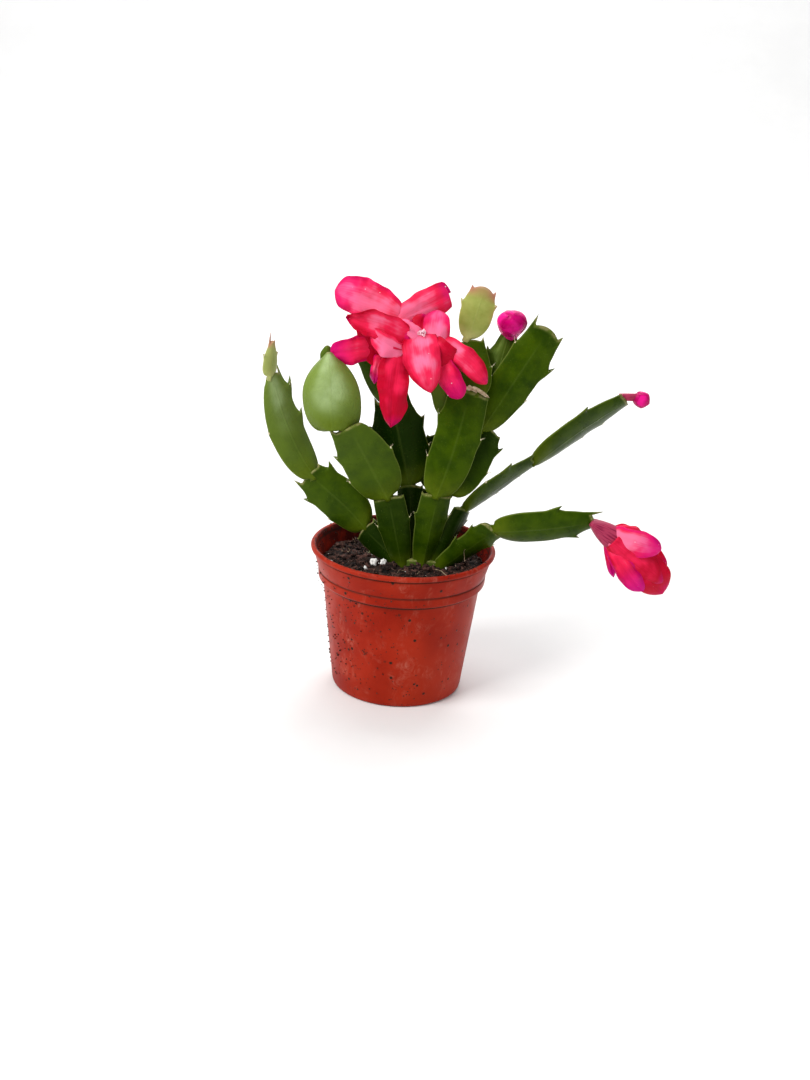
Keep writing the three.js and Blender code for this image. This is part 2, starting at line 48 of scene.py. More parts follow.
TOOTH = 0.13  # the share of a margin over which a tooth rises
NOTCH = 0.025  # how far past a tooth's tip its notch lies, as a share of the length
NOTCH_END = 1.8  # where the notch ends, for a rise of 1
TAPER = 0.35  # how much thinner a blade is at its tip than at its foot
SWELL = 2.2  # how squarely a margin bends round its widest place
STRAND_MARKS = (0, 0.3, 0.6, 0.85, 1)  # the places along a hair or thread that get a point

Point = tuple[float, float, float]
Colour = tuple[float, float, float]
Sides = float | tuple[float, float]
Teeth = tuple[tuple[float, float], ...]


def clamp(value: float, low: float = 0.0, high: float = 1.0) -> float:
    """The value, kept between low and high."""
    return max(low, min(high, value))


def side_of(value: Sides, right: bool) -> float:
    """A value given for both margins, or the one for this margin."""
    return value[int(right)] if isinstance(value, tuple) else value


def wander(point: Vector, scale: float, seed: float = 0.0) -> float:
    """Smooth noise from -1 to 1 at a point in millimetres, with lumps about scale wide."""
    return noise.noise(point / scale + Vector((seed, seed * 0.37, seed * 1.7)))


def scatter(draw: random.Random, radius: float) -> tuple[float, float, float]:
    """A spot drawn evenly from a disc, as x, y and its angle."""
    reach, turn = radius * math.sqrt(draw.random()), draw.uniform(0, 2 * math.pi)
    return reach * math.cos(turn), reach * math.sin(turn), turn


def around(reach: float, turn: float, z: float) -> Vector:
    """The point at a distance and an angle round the upright axis."""
    return Vector((reach * math.cos(turn), reach * math.sin(turn), z))


def lathe(outline: list[tuple[float, float]], steps: int, rounding: float = 0.0,
          corners: tuple[int, int] = (0, 0)) -> bmesh.types.BMesh:
    """Spins an outline once round the upright axis.

    Args:
        outline: Its points, as distance from the axis and height, in millimetres.
        steps: How many steps one turn takes.
        rounding: How far its corners are rounded, in millimetres.
        corners: The first point that is rounded, and the one after the last.

    Returns:
        The mesh.
    """
    bm = bmesh.new()
    verts = [bm.verts.new((r * MM, 0, z * MM)) for r, z in outline]
    for a, b in zip(verts, verts[1:]):
        bm.edges.new((a, b))
    if rounding:
        bmesh.ops.bevel(bm, geom=verts[slice(*corners)], affect="VERTICES", offset=rounding * MM,
                        segments=3, profile=0.5, material=-1, clamp_overlap=True)
    bmesh.ops.spin(bm, geom=bm.verts[:] + bm.edges[:], cent=(0, 0, 0), axis=(0, 0, 1),
                   angle=2 * math.pi, steps=steps, use_merge=True)
    bmesh.ops.remove_doubles(bm, verts=bm.verts[:], dist=1e-7)
    return bm


# ---------------------------------------------------------------- forms
@dataclass(frozen=True)
class Blade:
    """One segment or petal, from one joint to the next, in millimetres.

    The same values shape the CAD solids: width across its own plane, facing turns its flat
    face about its length, bow arches it out of its plane, sway bends it within it and cup
    rolls its margins back. neck, end and belly are its half widths at its two ends and the
    place of its widest row, rise is 0.5 for a round foot and 1 for a wedge, and keel is how
    full its section is. left and right hold each tooth's place and size, bite is how sharp
    they are and horns how far the corners of its cut end stand ahead. rim is the margin's
    thickness, tip how much of it rounds off, crown how far its middle stands ahead at the
    end, and root how far its foot sinks in. curl bends the tip back, ripple waves the margins,
    fold is how deep its middle groove is and lumps how uneven its face is. tone and flush
    shade its finish, tone with painted shade and painted sheen as well as the blade's own
    colour, and round makes it a spindle.
    """

    start: Point
    stop: Point
    width: float
    thick: float = 2.6
    neck: Sides = 0.24
    end: Sides = 0.62
    belly: Sides = 0.42
    rise: float = 0.5
    keel: float = 0.62
    facing: float = 0.0
    bow: float = 0.0
    sway: float = 0.0
    cup: float = 0.6
    left: Teeth = ()
    right: Teeth = ()
    horns: Sides = 1.0
    rim: float = 0.16
    tip: float = 0.0
    crown: float = 1.1
    root: float = 0.9
    bite: float = 1.25
    curl: float = 0.0
    ripple: float = 0.0
    fold: float = 0.0
    lumps: float = 0.22
    tone: float = 0.0
    flush: float = 0.0
    round: bool = False

    def axes(self) -> tuple[Vector, Vector, Vector, float]:
        """The directions along, across and out of its face, and its length.

        Returns:
            The three directions and the length, in millimetres.
        """
        along = Vector(self.stop) - Vector(self.start)
        length = along.length
        along.normalize()
        face = Vector((0, -1, 0))
        face = (face - along * face.dot(along)).normalized()
        face.rotate(Matrix.Rotation(math.radians(self.facing), 3, along))
        return along, along.cross(face), face, length

    def outline(self, v: float, right: bool) -> float:
        """Half its width, for a full width of 2.

        Args:
            v: The place along it, from 0 to 1.
            right: Whether this is the right margin.

        Returns:
            The half width.
        """
        neck, end, belly = (side_of(x, right) for x in (self.neck, self.end, self.belly))
        if v <= 0:
            half = neck
        elif v < belly:
            half = neck + (1 - neck) * (1 - (1 - v / belly) ** SWELL) ** self.rise
        else:
            half = 1 - (1 - end) * ((v - belly) / (1 - belly)) ** SWELL
        if self.tip and v > 1 - self.tip:
            half *= math.sqrt(max(0.0, 1 - ((v - 1 + self.tip) / self.tip) ** 2)) * 0.97 + 0.03
        return half

    def margin(self, v: float, right: bool) -> tuple[float, float]:
        """How far the teeth and the horn push one margin.

        Args:
            v: The place along it, from 0 to 1.
            right: Whether this is the right margin.

        Returns:
            How far it moves out and ahead, in millimetres.
        """
        out, ahead = 0.0, side_of(self.horns, right) * max(0.0, (v - 0.94) / 0.06)
        for place, size in self.right if right else self.left:
            ramp = (v - (place - TOOTH)) / TOOTH
            if 0 < ramp <= 1.001:
                out += size * 0.75 * ramp * ramp
                ahead += size * 0.8 * self.bite * ramp**5
            elif 1.001 < ramp < NOTCH_END:
                out -= size * 0.42 * self.bite * ((NOTCH_END - ramp) / (NOTCH_END - 1)) ** 1.5
        return out, ahead

    def section(self, reach: float) -> float:
        """Half its thickness, for a half thickness of 1.

        Args:
            reach: The place across it, from 0 in the middle to 1 at a margin.

        Returns:
            The half thickness.
        """
        if self.round:
            return math.sqrt(max(0.0, 1 - reach * reach)) * 0.98 + 0.02
        power = 1.4 if self.keel < 0.45 else 2.2 if self.keel < 0.8 else 3.0
        return self.rim + (1 - self.rim) * (1 - reach**power)

    def point(self, u: float, v: float, way: float) -> Vector:
        """A point of its surface.

        Args:
            u: The place across, from -1 at the left margin to 1 at the right.
            v: The place along, from 0 to 1.
            way: 1 on the front, -1 on the back, 0 in the middle of its thickness.

        Returns:
            The point, in millimetres.
        """
        along, side, face, length = self.axes()
        arch = 4 * v * (1 - v)
        right = u > 0
        reach = abs(u)
        half = self.width / 2 * self.outline(v, right)
        if self.ripple:
            wave = wander(Vector((v * length, 9.0 * right, 0)), 3.6, self.width)
            half *= 1 + 0.06 * self.ripple * wave
        out, ahead = self.margin(v, right)
        thin = self.thick / 2 * (1 - TAPER * max(0.0, v)) * self.section(reach)
        if self.tip and v > 1 - self.tip:
            thin *= 0.25 + 0.75 * math.sqrt(max(0.0, 1 - ((v - 1 + self.tip) / self.tip) ** 2))
        ahead *= clamp((reach - 0.8) / 0.2)
        ahead += self.crown * (1 - u * u) * clamp((v - 0.75) / 0.25) ** 2
        middle = Vector(self.start) + along * (v * length + ahead)
        middle += side * (u * half + math.copysign(out * reach**4, u) + self.sway * arch)
        lift = self.bow * arch - self.cup * u * u - self.curl * v**3
        lift -= self.fold * clamp(1 - 2.4 * reach) ** 2 * clamp(3 * v * (1 - v) ** 0.5)
        if not self.round:
            lift += self.lumps * wander(middle, 7.0, self.width) * clamp(4 * v)
        if self.ripple:
            wave = wander(Vector((v * length, u * 3, 0)), 3.4, self.width)
            lift += self.ripple * u * u * arch * wave
        return middle + face * (lift + way * thin)

    def rows(self, step: float) -> list[float]:
        """The places along it that get a row of points.

        Args:
            step: About how far apart they are, in millimetres.

        Returns:
            The places, in even steps, with each tooth's tip and notch.
        """
        count = max(4, round(self.axes()[3] / step))
        marks = [(place, place + NOTCH) for place, _ in self.left + self.right]
        places = {i / count for i in range(count + 1)}
        places |= {1 - self.tip * x for x in (0.5, 0.25, 0.1, 0.04)} if self.tip else set()
        places = {v for v in places if all(v < a - 0.006 or v > b + 0.006 for a, b in marks)}
        for mark in marks:
            places |= {v for v in mark if all(not a < v < b for a, b in marks)}
        return [-self.root / self.axes()[3]] * (self.root > 0) + sorted(places)

    def columns(self, count: int) -> list[float]:
        """The places across it that get a column of points, closer towards the margins.

        Args:
            count: How many strips lie between them.

        Returns:
            The places, from -1 to 1.
        """
        if self.round:
            return [math.sin(math.pi / 2 * (2 * i / count - 1)) for i in range(count + 1)]
        half = [1 - (1 - i / (count // 2)) ** 1.35 for i in range(1, count // 2 + 1)]
        return [-u for u in reversed(half)] + [0.0] + half

    def notches(self) -> list[tuple[Vector, Vector, Vector]]:
        """Every tooth's notch.

        Returns:
            For each, its point, the way out of it across the blade, and the way ahead.
        """
        along, side, _, _ = self.axes()
        found = []
        for right, teeth in ((False, self.left), (True, self.right)):
            u = 1.0 if right else -1.0
            for place, _ in teeth:
                found.append((self.point(u, min(1.0, place + NOTCH), 0), side * u, along))
        return found


@dataclass(frozen=True)
class Scale:
    """One petal or scale wrapped round a spindle, such as a bud's core, in millimetres.

    turn and spread are the angles of its middle and half its width, low and high the places
    along the core where it starts and ends, lift and flare how far it stands off the core and
    off it at its tip, and belly the place of its widest row.
    """

    core: Blade
    turn: float
    spread: float
    low: float
    high: float
    lift: float = 0.25
    flare: float = 0.4
    thick: float = 0.35
    belly: float = 0.45
    tone: float = 0.0
    flush: float = 0.0

    def point(self, u: float, v: float, way: float) -> Vector:
        """A point of its surface.

        Args:
            u: The place across, from -1 to 1.
            v: The place along, from 0 to 1.
            way: 1 on the front, -1 on the back, 0 in the middle of its thickness.

        Returns:
            The point, in millimetres.
        """
        along, side, face, length = self.core.axes()
        place = self.low + (self.high - self.low) * v
        if v < self.belly:
            half = 1 - (1 - v / self.belly) ** 2 * 0.35
        else:
            half = math.sqrt(max(0.0, 1 - ((v - self.belly) / (1 - self.belly)) ** 2.4))
        angle = math.radians(self.turn + self.spread * u * max(half, 0.02))
        arch = 4 * place * (1 - place)
        centre = Vector(self.core.start) + along * (clamp(place) * length)
        centre += side * self.core.sway * arch + face * self.core.bow * arch
        wide = self.core.width / 2 * self.core.outline(clamp(place, 0, 0.97), u > 0)
        deep = self.core.thick / 2 * (1 - TAPER * clamp(place))
        deep *= wide / (self.core.width / 2)
        edge = 1 - 0.7 * max(abs(u), v**3)
        stand = self.lift * (1 - 0.6 * abs(u)) + self.flare * v * v + way * self.thick / 2 * edge
        out = side * math.sin(angle) + face * math.cos(angle)
        spot = centre + side * math.sin(angle) * wide + face * math.cos(angle) * deep
        over = max(0.0, place - 1) * length
        return spot + out * stand + along * (over - 0.5 * self.flare * v * v)

    def rows(self, step: float) -> list[float]:
        """The places along it that get a row of points."""
        count = max(8, round((self.high - self.low) * self.core.axes()[3] / step))
        return [1 - (1 - i / count) ** 1.3 for i in range(count + 1)]

    def columns(self, count: int) -> list[float]:
        """The places across it that get a column of points."""
        return [2 * i / count - 1 for i in range(count + 1)]


# ---------------------------------------------------------------- mesh benches
class Sheets:
    """One mesh of closed sheets, each grown from a flat grid and laid on its form."""

    def __init__(self) -> None:
        """Starts an empty mesh that keeps the place across and along each sheet."""
        self.bm = bmesh.new()
        layers = self.bm.verts.layers.float
        for name in LAYERS:
            layers.new(name)

    def add(self, form: Blade | Scale, step: float = 0.5, columns: int = 20) -> None:
        """Adds one closed sheet.

        Args:
            form: The blade or scale whose surface it follows.
            step: The distance between two rows, in millimetres.
            columns: How many strips wide it is.
        """
        layers = self.bm.verts.layers.float
        across, along, tone, flush = (layers[name] for name in LAYERS)
        us, vs = form.columns(columns), form.rows(step)
        made = bmesh.ops.create_grid(self.bm, x_segments=len(us) - 1, y_segments=len(vs) - 1,
                                     size=1.0)
        front = made["verts"]
        faces = list({face for vert in front for face in vert.link_faces})
        grown = bmesh.ops.extrude_face_region(self.bm, geom=faces)["geom"]
        back = [e for e in grown if isinstance(e, bmesh.types.BMVert)]
        for way, verts in ((1.0, front), (-1.0, back)):
            for vert in verts:
                u = us[round((vert.co.x + 1) / 2 * (len(us) - 1))]
                v = vs[round((vert.co.y + 1) / 2 * (len(vs) - 1))]
                vert[across], vert[along], vert[tone], vert[flush] = u, v, form.tone, form.flush
                vert.co = form.point(u, v, way) * MM

    def done(self) -> bmesh.types.BMesh:
        """The mesh, with every face turned outwards."""
        bmesh.ops.recalc_face_normals(self.bm, faces=self.bm.faces[:])
        return self.bm


@dataclass(frozen=True)
class Piece:
    """How a finished mesh joins the frame: its name, an unused slot and the nodes it stands for."""

    name: str
    slot: str
    nodes: tuple[str, ...] = ()

    def place(self, bm: bmesh.types.BMesh, material: bpy.types.Material,
              smooth: bool = True) -> bpy.types.Object:
        """Makes the object, dresses it and ties it to the frame.

        Args:
            bm: Its mesh, which is used up.
            material: Its finish.
            smooth: Whether its faces are shaded smooth.

        Returns:
            The object.
        """
        mesh = bpy.data.meshes.new(self.name)
        bm.to_mesh(mesh)
        bm.free()
        for polygon in mesh.polygons:
            polygon.use_smooth = smooth
        mesh.materials.append(material)
        made = bpy.data.objects.new(self.name, mesh)
        bpy.context.scene.collection.objects.link(made)
        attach(made, "root")
        if self.nodes:
            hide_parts(*self.nodes)
        LOG.info("%s: %d faces", self.name, len(mesh.polygons))
        return made


class Bench:
    """One new material, and short ways to wire its nodes."""

    def __init__(self, name: str) -> None:
        """Makes the material with its shader.

        Args:
            name: The material's name.
        """
        self.material = bpy.data.materials.new(name)
        self.material.use_nodes = True
        self.tree = self.material.node_tree
        self.shader = self.tree.nodes["Principled BSDF"]

    def node(self, kind: str, sockets: dict, **settings: object) -> bpy.types.Node:
        """A new node.

        Args:
            kind: Its type.
            sockets: What each of its inputs is linked to or set to.
            **settings: Its other settings.

        Returns:
            The node.
        """
        made = self.tree.nodes.new(kind)
        for key, value in settings.items():
            setattr(made, key, value)
        for key, value in sockets.items():
            if isinstance(value, bpy.types.NodeSocket):
                self.tree.links.new(value, made.inputs[key])
            else:
                made.inputs[key].default_value = value
        return made

    def attribute(self, name: str) -> bpy.types.NodeSocket:
        """A number that the mesh keeps at each point."""
        return self.node("ShaderNodeAttribute", {}, attribute_name=name).outputs["Fac"]

    def place(self, stretch: Point = (1, 1, 1)) -> bpy.types.NodeSocket:
        """The object's own coordinates, stretched."""
        source = self.node("ShaderNodeTexCoord", {}).outputs["Object"]
        return self.node("ShaderNodeMapping", {"Vector": source, "Scale": stretch}).outputs[0]

    def noise(self, size: float, detail: float = 3, rough: float = 0.5, stretch: Point = (1, 1, 1),
              distortion: float = 0.0) -> bpy.types.NodeSocket:
        """Cloudy noise.

        Args:
            size: How wide its lumps are, in millimetres.
            detail: How many finer layers it has.
            rough: How strong they are.
            stretch: How it is stretched along each axis.
            distortion: How far it swirls.

        Returns:
            The noise, from 0 to 1.
        """
        sockets = {"Vector": self.place(stretch), "Scale": 1 / (size * MM), "Detail": detail,
                   "Roughness": rough, "Distortion": distortion}
        return self.node("ShaderNodeTexNoise", sockets).outputs[0]

    def cells(self, size: float) -> bpy.types.NodeSocket:
        """The distance to the nearest of scattered points about size millimetres apart."""
        sockets = {"Vector": self.place(), "Scale": 1 / (size * MM)}
        return self.node("ShaderNodeTexVoronoi", sockets).outputs["Distance"]

    def span(self, source: bpy.types.NodeSocket, low: float, high: float, start: float = 0.0,
             stop: float = 1.0) -> bpy.types.NodeSocket:
        """The source from low to high, eased to run from start to stop.

        Args:
            source: The number that is read.
            low: Its value where the result is start.
            high: Its value where the result is stop.
            start: The result at low and before it.
            stop: The result at high and past it.

        Returns:
            The eased number.
        """
        sockets = {"Value": source, "From Min": low, "From Max": high, "To Min": start,
                   "To Max": stop}
        return self.node("ShaderNodeMapRange", sockets, interpolation_type="SMOOTHSTEP").outputs[0]

    def math(self, kind: str, a: object, b: object = 0.0) -> bpy.types.NodeSocket:
        """One operation on one or two numbers."""
        return self.node("ShaderNodeMath", {0: a, 1: b}, operation=kind).outputs[0]

    def times(self, a: object, b: object) -> bpy.types.NodeSocket:
        """Two numbers multiplied."""
        return self.math("MULTIPLY", a, b)

    def mix(self, share: bpy.types.NodeSocket, a: object, b: object) -> bpy.types.NodeSocket:
        """Colour a turning to colour b by share.

        Args:
            share: How much of b there is, from 0 to 1.
            a: The first colour.
            b: The second colour.

        Returns:
            The colour.
        """
        first, second = ((*x, 1.0) if isinstance(x, tuple) else x for x in (a, b))
        return self.node("ShaderNodeMix", {0: share, 6: first, 7: second},
                         data_type="RGBA").outputs[2]

    def bump(self, height: bpy.types.NodeSocket, depth: float, strength: object = 1.0,
             under: bpy.types.NodeSocket | None = None) -> bpy.types.NodeSocket:
        """Relief.

        Args:
            height: Its height, from 0 to 1.
            depth: How high 1 is, in millimetres.
            strength: How much of it shows.
            under: The relief below it.

        Returns:
            The normal.
        """
        sockets = {"Height": height, "Distance": depth * MM, "Strength": strength}
        if under is not None:
            sockets["Normal"] = under
        return self.node("ShaderNodeBump", sockets).outputs[0]

    def finish(self, colour: object, roughness: object, normal: bpy.types.NodeSocket,
               **settings: float | Colour) -> bpy.types.Material:
        """Wires the shader.

        Args:
            colour: The base colour.
            roughness: The roughness.
            normal: The relief.
            **settings: Other sockets of the shader, by name with _ for a space.

        Returns:
            The material.
        """
        for key, value in (("Base Color", colour), ("Roughness", roughness), ("Normal", normal)):
            if isinstance(value, bpy.types.NodeSocket):
                self.tree.links.new(value, self.shader.inputs[key])
            else:
                self.shader.inputs[key].default_value = value
        for key, value in settings.items():
            self.shader.inputs[key.replace("_", " ")].default_value = value
        return self.material


# ---------------------------------------------------------------- finishes
@dataclass(frozen=True)
class PotPlastic:
    """Thin red-brown moulded plastic, dusty with soil and scuffed.

    creases are the heights and strengths of its dark lines of painted shade in the grooves under
    its step, at its band's bead and under its lip, and crease_width the half widths over which
    they fade, in millimetres. The inner wall is where the distance from the axis less lean
    times the height is under skin. It is shaded only above the height bed, so that the outer
    wall under the band stays clear.
    """

    name: str = "pot_plastic"
    clay: Colour = (0.35, 0.019, 0.006)
    deep: Colour = (0.25, 0.010, 0.003)
    creases: tuple[tuple[float, float], ...] = ((36.4, 0.9), (40.1, 0.5), (46.4, 0.75))
    crease_width: tuple[float, float] = (0.55, 0.2)
    dust: Colour = (0.60, 0.21, 0.15)
    warm: Colour = (0.42, 0.035, 0.012)
    # The colour of the soil specks, and of the painted shade in the creases.
    dirt_and_crease_shade: Colour = (0.030, 0.014, 0.010)
    shadow: Colour = (0.060, 0.006, 0.005)
    lean: float = 0.198
    skin: float = 19.2
    bed: float = 37.8

    def make(self) -> bpy.types.Material:
        """Wires its nodes.

        Returns:
            The material.
        """
        b = Bench(self.name)
        cloud = b.noise(14, 3, 0.5)
        red = b.mix(b.span(cloud, 0.3, 0.7), self.deep, self.clay)
        red = b.mix(b.span(b.noise(30, 1), 0.35, 0.65, 0.0, 0.35), red, self.warm)
        haze = b.noise(9, 6, 0.62, (1, 1, 0.55), 0.6)
        scuff = b.noise(3.2, 6, 0.75, (1, 1, 0.7), 1.2)
        worn = b.times(b.span(haze, 0.47, 0.72), b.span(scuff, 0.42, 0.7))
        red = b.mix(b.times(worn, 0.5), red, self.dust)
        place = b.node("ShaderNodeSeparateXYZ", {0: b.place()}).outputs
        depth = place["Z"]
        reach = b.math("SQRT", b.math("ADD", b.times(place["X"], place["X"]),
                                      b.times(place["Y"], place["Y"])))
        inside = b.span(b.math("SUBTRACT", reach, b.times(depth, self.lean)),
                        (self.skin + 0.1) * MM, (self.skin - 0.1) * MM)
        inside = b.times(inside, b.span(depth, self.bed * MM, (self.bed + 0.6) * MM))
        inside = b.times(inside, b.span(b.noise(4, 4, 0.6), 0.35, 0.6, 0.3, 0.9))
        red = b.mix(inside, red, self.shadow)
        # Dark lines of painted shade in the grooves under the step, at the band's bead and under
        # the lip.
        for crease, dark in self.creases:
            apart = b.math("ABSOLUTE", b.math("SUBTRACT", depth, crease * MM))
            near = b.span(apart, *(width * MM for width in self.crease_width))
            red = b.mix(b.times(near, dark), red, self.dirt_and_crease_shade)
        grains = b.times(b.span(b.cells(1.5), 0.2, 0.1), b.span(b.noise(6, 3), 0.46, 0.6))
        crumbs = b.times(b.span(b.cells(3.4), 0.17, 0.12), b.span(b.noise(11, 2), 0.42, 0.56))
        soiled = b.math("MAXIMUM", grains, crumbs)
        colour = b.mix(soiled, red, self.dirt_and_crease_shade)
        rough = b.span(haze, 0.3, 0.75, 0.34, 0.6)
        fine = b.noise(0.5, 3, 0.6)
        normal = b.bump(b.noise(7, 2), 0.12, 0.5)
        normal = b.bump(fine, 0.02, 0.5, normal)
        normal = b.bump(soiled, 0.15, 0.8, normal)
        return b.finish(colour, rough, normal, Specular_IOR_Level=0.12,
                        Specular_Tint=(1.0, 0.5, 0.4, 1.0))


@dataclass(frozen=True)
class PottingSoil:
    """Nearly black peat with brown crumbs."""

    name: str
    dark: Colour = (0.006, 0.0032, 0.0026)
    brown: Colour = (0.036, 0.018, 0.013)
    pale: Colour = (0.11, 0.065, 0.045)
    grain: float = 1.6

    def make(self) -> bpy.types.Material:
        """Wires its nodes.

        Returns:
            The material.
        """
        b = Bench(self.name)
        colour = b.mix(b.span(b.noise(self.grain, 5, 0.7), 0.42, 0.62), self.dark, self.brown)
        colour = b.mix(b.span(b.noise(0.7, 4, 0.7), 0.58, 0.72), colour, self.pale)
        rough = b.span(b.noise(1.1, 3), 0.3, 0.7, 0.72, 0.98)
        normal = b.bump(b.noise(0.9, 6, 0.75), 0.5)
        normal = b.bump(b.cells(0.35), 0.12, 0.8, normal)
        return b.finish(colour, rough, normal, Specular_IOR_Level=0.25)


@dataclass(frozen=True)
class StemSkin:
    """Waxy green skin with mottling, a midrib, a paler foot and a fine pale rim."""

    name: str
    deep: Colour = (0.010, 0.030, 0.0003)
    middle: Colour = (0.040, 0.076, 0.0005)
    light: Colour = (0.200, 0.285, 0.050)
    shade: Colour = (0.004, 0.016, 0.0004)
    # The colour of the painted sheen.
    painted_sheen: Colour = (0.400, 0.520, 0.260)
    foot: Colour = (0.085, 0.120, 0.004)
    rim: Colour = (0.140, 0.180, 0.030)
    cork: Colour = (0.300, 0.250, 0.120)
    blush: Colour = (0.200, 0.050, 0.030)
    blushing: float = 0.0
    roughness: tuple[float, float] = (0.26, 0.40)

    def make(self) -> bpy.types.Material:
        """Wires its nodes.

        Returns:
            The material.
        """
        b = Bench(self.name)
        across, along, tone = (b.attribute(n) for n in ("across", "along", "tone"))
        tone = b.times(tone, b.span(along, 0.1, 0.9, 0.78, 1.15))
        reach = b.math("ABSOLUTE", across)
        mottle = b.noise(5.5, 6, 0.55)
        green = b.mix(b.span(mottle, 0.2, 0.75), self.deep, self.middle)
        # Each segment's number lightens or darkens it: partly its own colour, partly painted shade
        # on the low segments and those behind, and painted sheen on the palest ones.
        green = b.mix(b.span(tone, 0.0, 1.0), green, self.light)
        green = b.mix(b.span(tone, 0.0, -1.0), green, self.shade)
        # A painted sheen: a pale grey-green highlight in the middle of the palest segments.
        sheen_patch = b.times(b.span(tone, 0.4, 0.6), b.span(b.noise(9, 3, 0.4), 0.3, 0.75))
        sheen_patch = b.times(sheen_patch, b.times(b.span(reach, 0.85, 0.1), b.span(along, 0.1, 0.5)))
        green = b.mix(sheen_patch, green, self.painted_sheen)
        lower = b.times(b.span(along, 0.30, 0.02), b.span(b.noise(3, 3), 0.2, 0.7, 0.45, 1.0))
        green = b.mix(b.times(lower, 0.8), green, self.foot)
        rib = b.times(b.span(reach, 0.075, 0.02), b.span(along, 0.98, 0.75))
        # A faint painted highlight along the midrib.
        green = b.mix(b.times(rib, 0.07), green, self.light)
        fleck = b.times(b.span(b.cells(0.62), 0.2, 0.1), b.span(b.noise(5, 2), 0.46, 0.6))
        green = b.mix(b.times(fleck, 0.28), green, self.light)
        edge = b.math("MAXIMUM", b.span(reach, 0.945, 0.99), b.span(along, 0.965, 0.995))
        green = b.mix(b.times(edge, 0.6), green, self.rim)
        scar = b.span(b.noise(1.4, 4, 0.6), 0.42, 0.6, 0.0, 0.6)
        scar = b.times(b.span(along, 0.972, 0.992), scar)
        green = b.mix(scar, green, self.cork)
        red = b.times(b.span(along, 0.8, 1.0), b.span(reach, 0.1, 1.0, 0.55, 1.0))
        green = b.mix(b.times(red, self.blushing), green, self.blush)
        rough = b.span(b.noise(2.4, 4), 0.3, 0.7, *self.roughness)
        normal = b.bump(b.noise(2.2, 4, 0.55), 0.16, 0.6)
        normal = b.bump(b.noise(0.45, 2), 0.02, 0.6, normal)
        normal = b.bump(b.noise(3.4, 5, 0.6, distortion=1.4), 0.5, b.span(tone, 0.4, 0.6), normal)
        normal = b.bump(rib, 0.09, 0.7, normal)
        return b.finish(green, rough, normal, Specular_IOR_Level=0.14,
                        Specular_Tint=(0.75, 1.0, 0.3, 1.0))


@dataclass(frozen=True)
class PetalSilk:
    """Soft petal, pale in its middle and crimson at its rim and tip, with fine lengthwise veins."""

    name: str
    pale: Colour = (0.92, 0.17, 0.32)
    pink: Colour = (0.82, 0.016, 0.075)
    crimson: Colour = (0.47, 0.0003, 0.018)
    magenta: Colour = (0.62, 0.0006, 0.23)
    dusk: Colour = (0.40, 0.040, 0.095)
    stripe: Colour = (0.16, 0.004, 0.035)
    fleck: Colour = (0.97, 0.78, 0.84)
    roughness: tuple[float, float] = (0.36, 0.52)
    soft: float = 0.08

    def make(self) -> bpy.types.Material:
        """Wires its nodes.

        Returns:
            The material.
        """
        b = Bench(self.name)
        across, along, tone = (b.attribute(n) for n in ("across", "along", "tone"))
        reach = b.math("ABSOLUTE", across)
        streak = b.node("ShaderNodeCombineXYZ", {0: b.times(across, 9.0), 1: b.times(along, 1.6),
                                                 2: b.times(tone, 7.0)}).outputs[0]
        sockets = {"Vector": streak, "Scale": 1.6, "Detail": 3.0}
        vein = b.node("ShaderNodeTexNoise", sockets).outputs[0]
        # The pale middle is partly the petal's own colour and partly a painted highlight; each
        # petal's number adds painted shade to the petals that lie in shadow.
        light = b.math("ADD", b.span(reach, 0.4, 1.0, 0.04, 0.6), b.span(along, 0.4, 1.0, 0.0, 0.5))
        for more in (b.span(along, 0.25, 0.0, 0.0, 0.15), b.span(vein, 0.25, 0.75, -0.07, 0.07),
                     b.span(b.noise(6, 2), 0.3, 0.7, -0.25, 0.25), tone):
            light = b.math("ADD", light, more)
        colour = b.mix(b.span(light, -0.05, 0.5), self.pale, self.pink)
        colour = b.mix(b.span(light, 0.45, 1.15), colour, self.crimson)
        colour = b.mix(b.span(tone, 1.3, 1.45), colour, self.dusk)
        dark = b.times(b.span(vein, 0.5, 0.62), b.span(tone, 1.3, 1.45))
        colour = b.mix(b.times(dark, 0.75), colour, self.stripe)
        tinge = b.times(b.span(along, 0.8, 1.0), b.span(b.noise(6, 2), 0.4, 0.6, 0.0, 0.4))
        far = b.math("MAXIMUM", b.span(along, 0.35, 0.95), b.span(reach, 0.7, 1.0, 0.0, 0.7))
        tinge = b.math("MAXIMUM", tinge, b.times(b.attribute("flush"), far))
        colour = b.mix(tinge, colour, self.magenta)
        spots = b.times(b.span(b.cells(2.3), 0.1, 0.06), b.span(b.noise(9, 2), 0.55, 0.62))
        colour = b.mix(spots, colour, self.fleck)
        rough = b.span(vein, 0.3, 0.7, *self.roughness)
        normal = b.bump(vein, 0.2, 0.6)
        normal = b.bump(b.noise(0.35, 2), 0.015, 0.5, normal)
        return b.finish(colour, rough, normal, Subsurface_Weight=self.soft, Subsurface_Scale=0.0016,
                        Subsurface_Radius=(1.0, 0.25, 0.35), Specular_IOR_Level=0.17,
                        Specular_Tint=(1.0, 0.35, 0.6, 1.0))


@dataclass(frozen=True)
class Speckled:
    """A plain natural finish of two colours with grain, such as perlite, bristles or husk."""

    name: str
    first: Colour
    second: Colour
    grain: float = 0.6
    relief: float = 0.1
    rough: tuple[float, float] = (0.6, 0.9)

    def make(self) -> bpy.types.Material:
        """Wires its nodes.

        Returns:
            The material.
        """
        b = Bench(self.name)
        cloud = b.noise(self.grain, 4, 0.65)
        colour = b.mix(b.span(cloud, 0.34, 0.66), self.first, self.second)
        rough = b.span(b.noise(self.grain * 2, 3), 0.3, 0.7, *self.rough)
        return b.finish(colour, rough, b.bump(cloud, self.relief), Specular_IOR_Level=0.3)


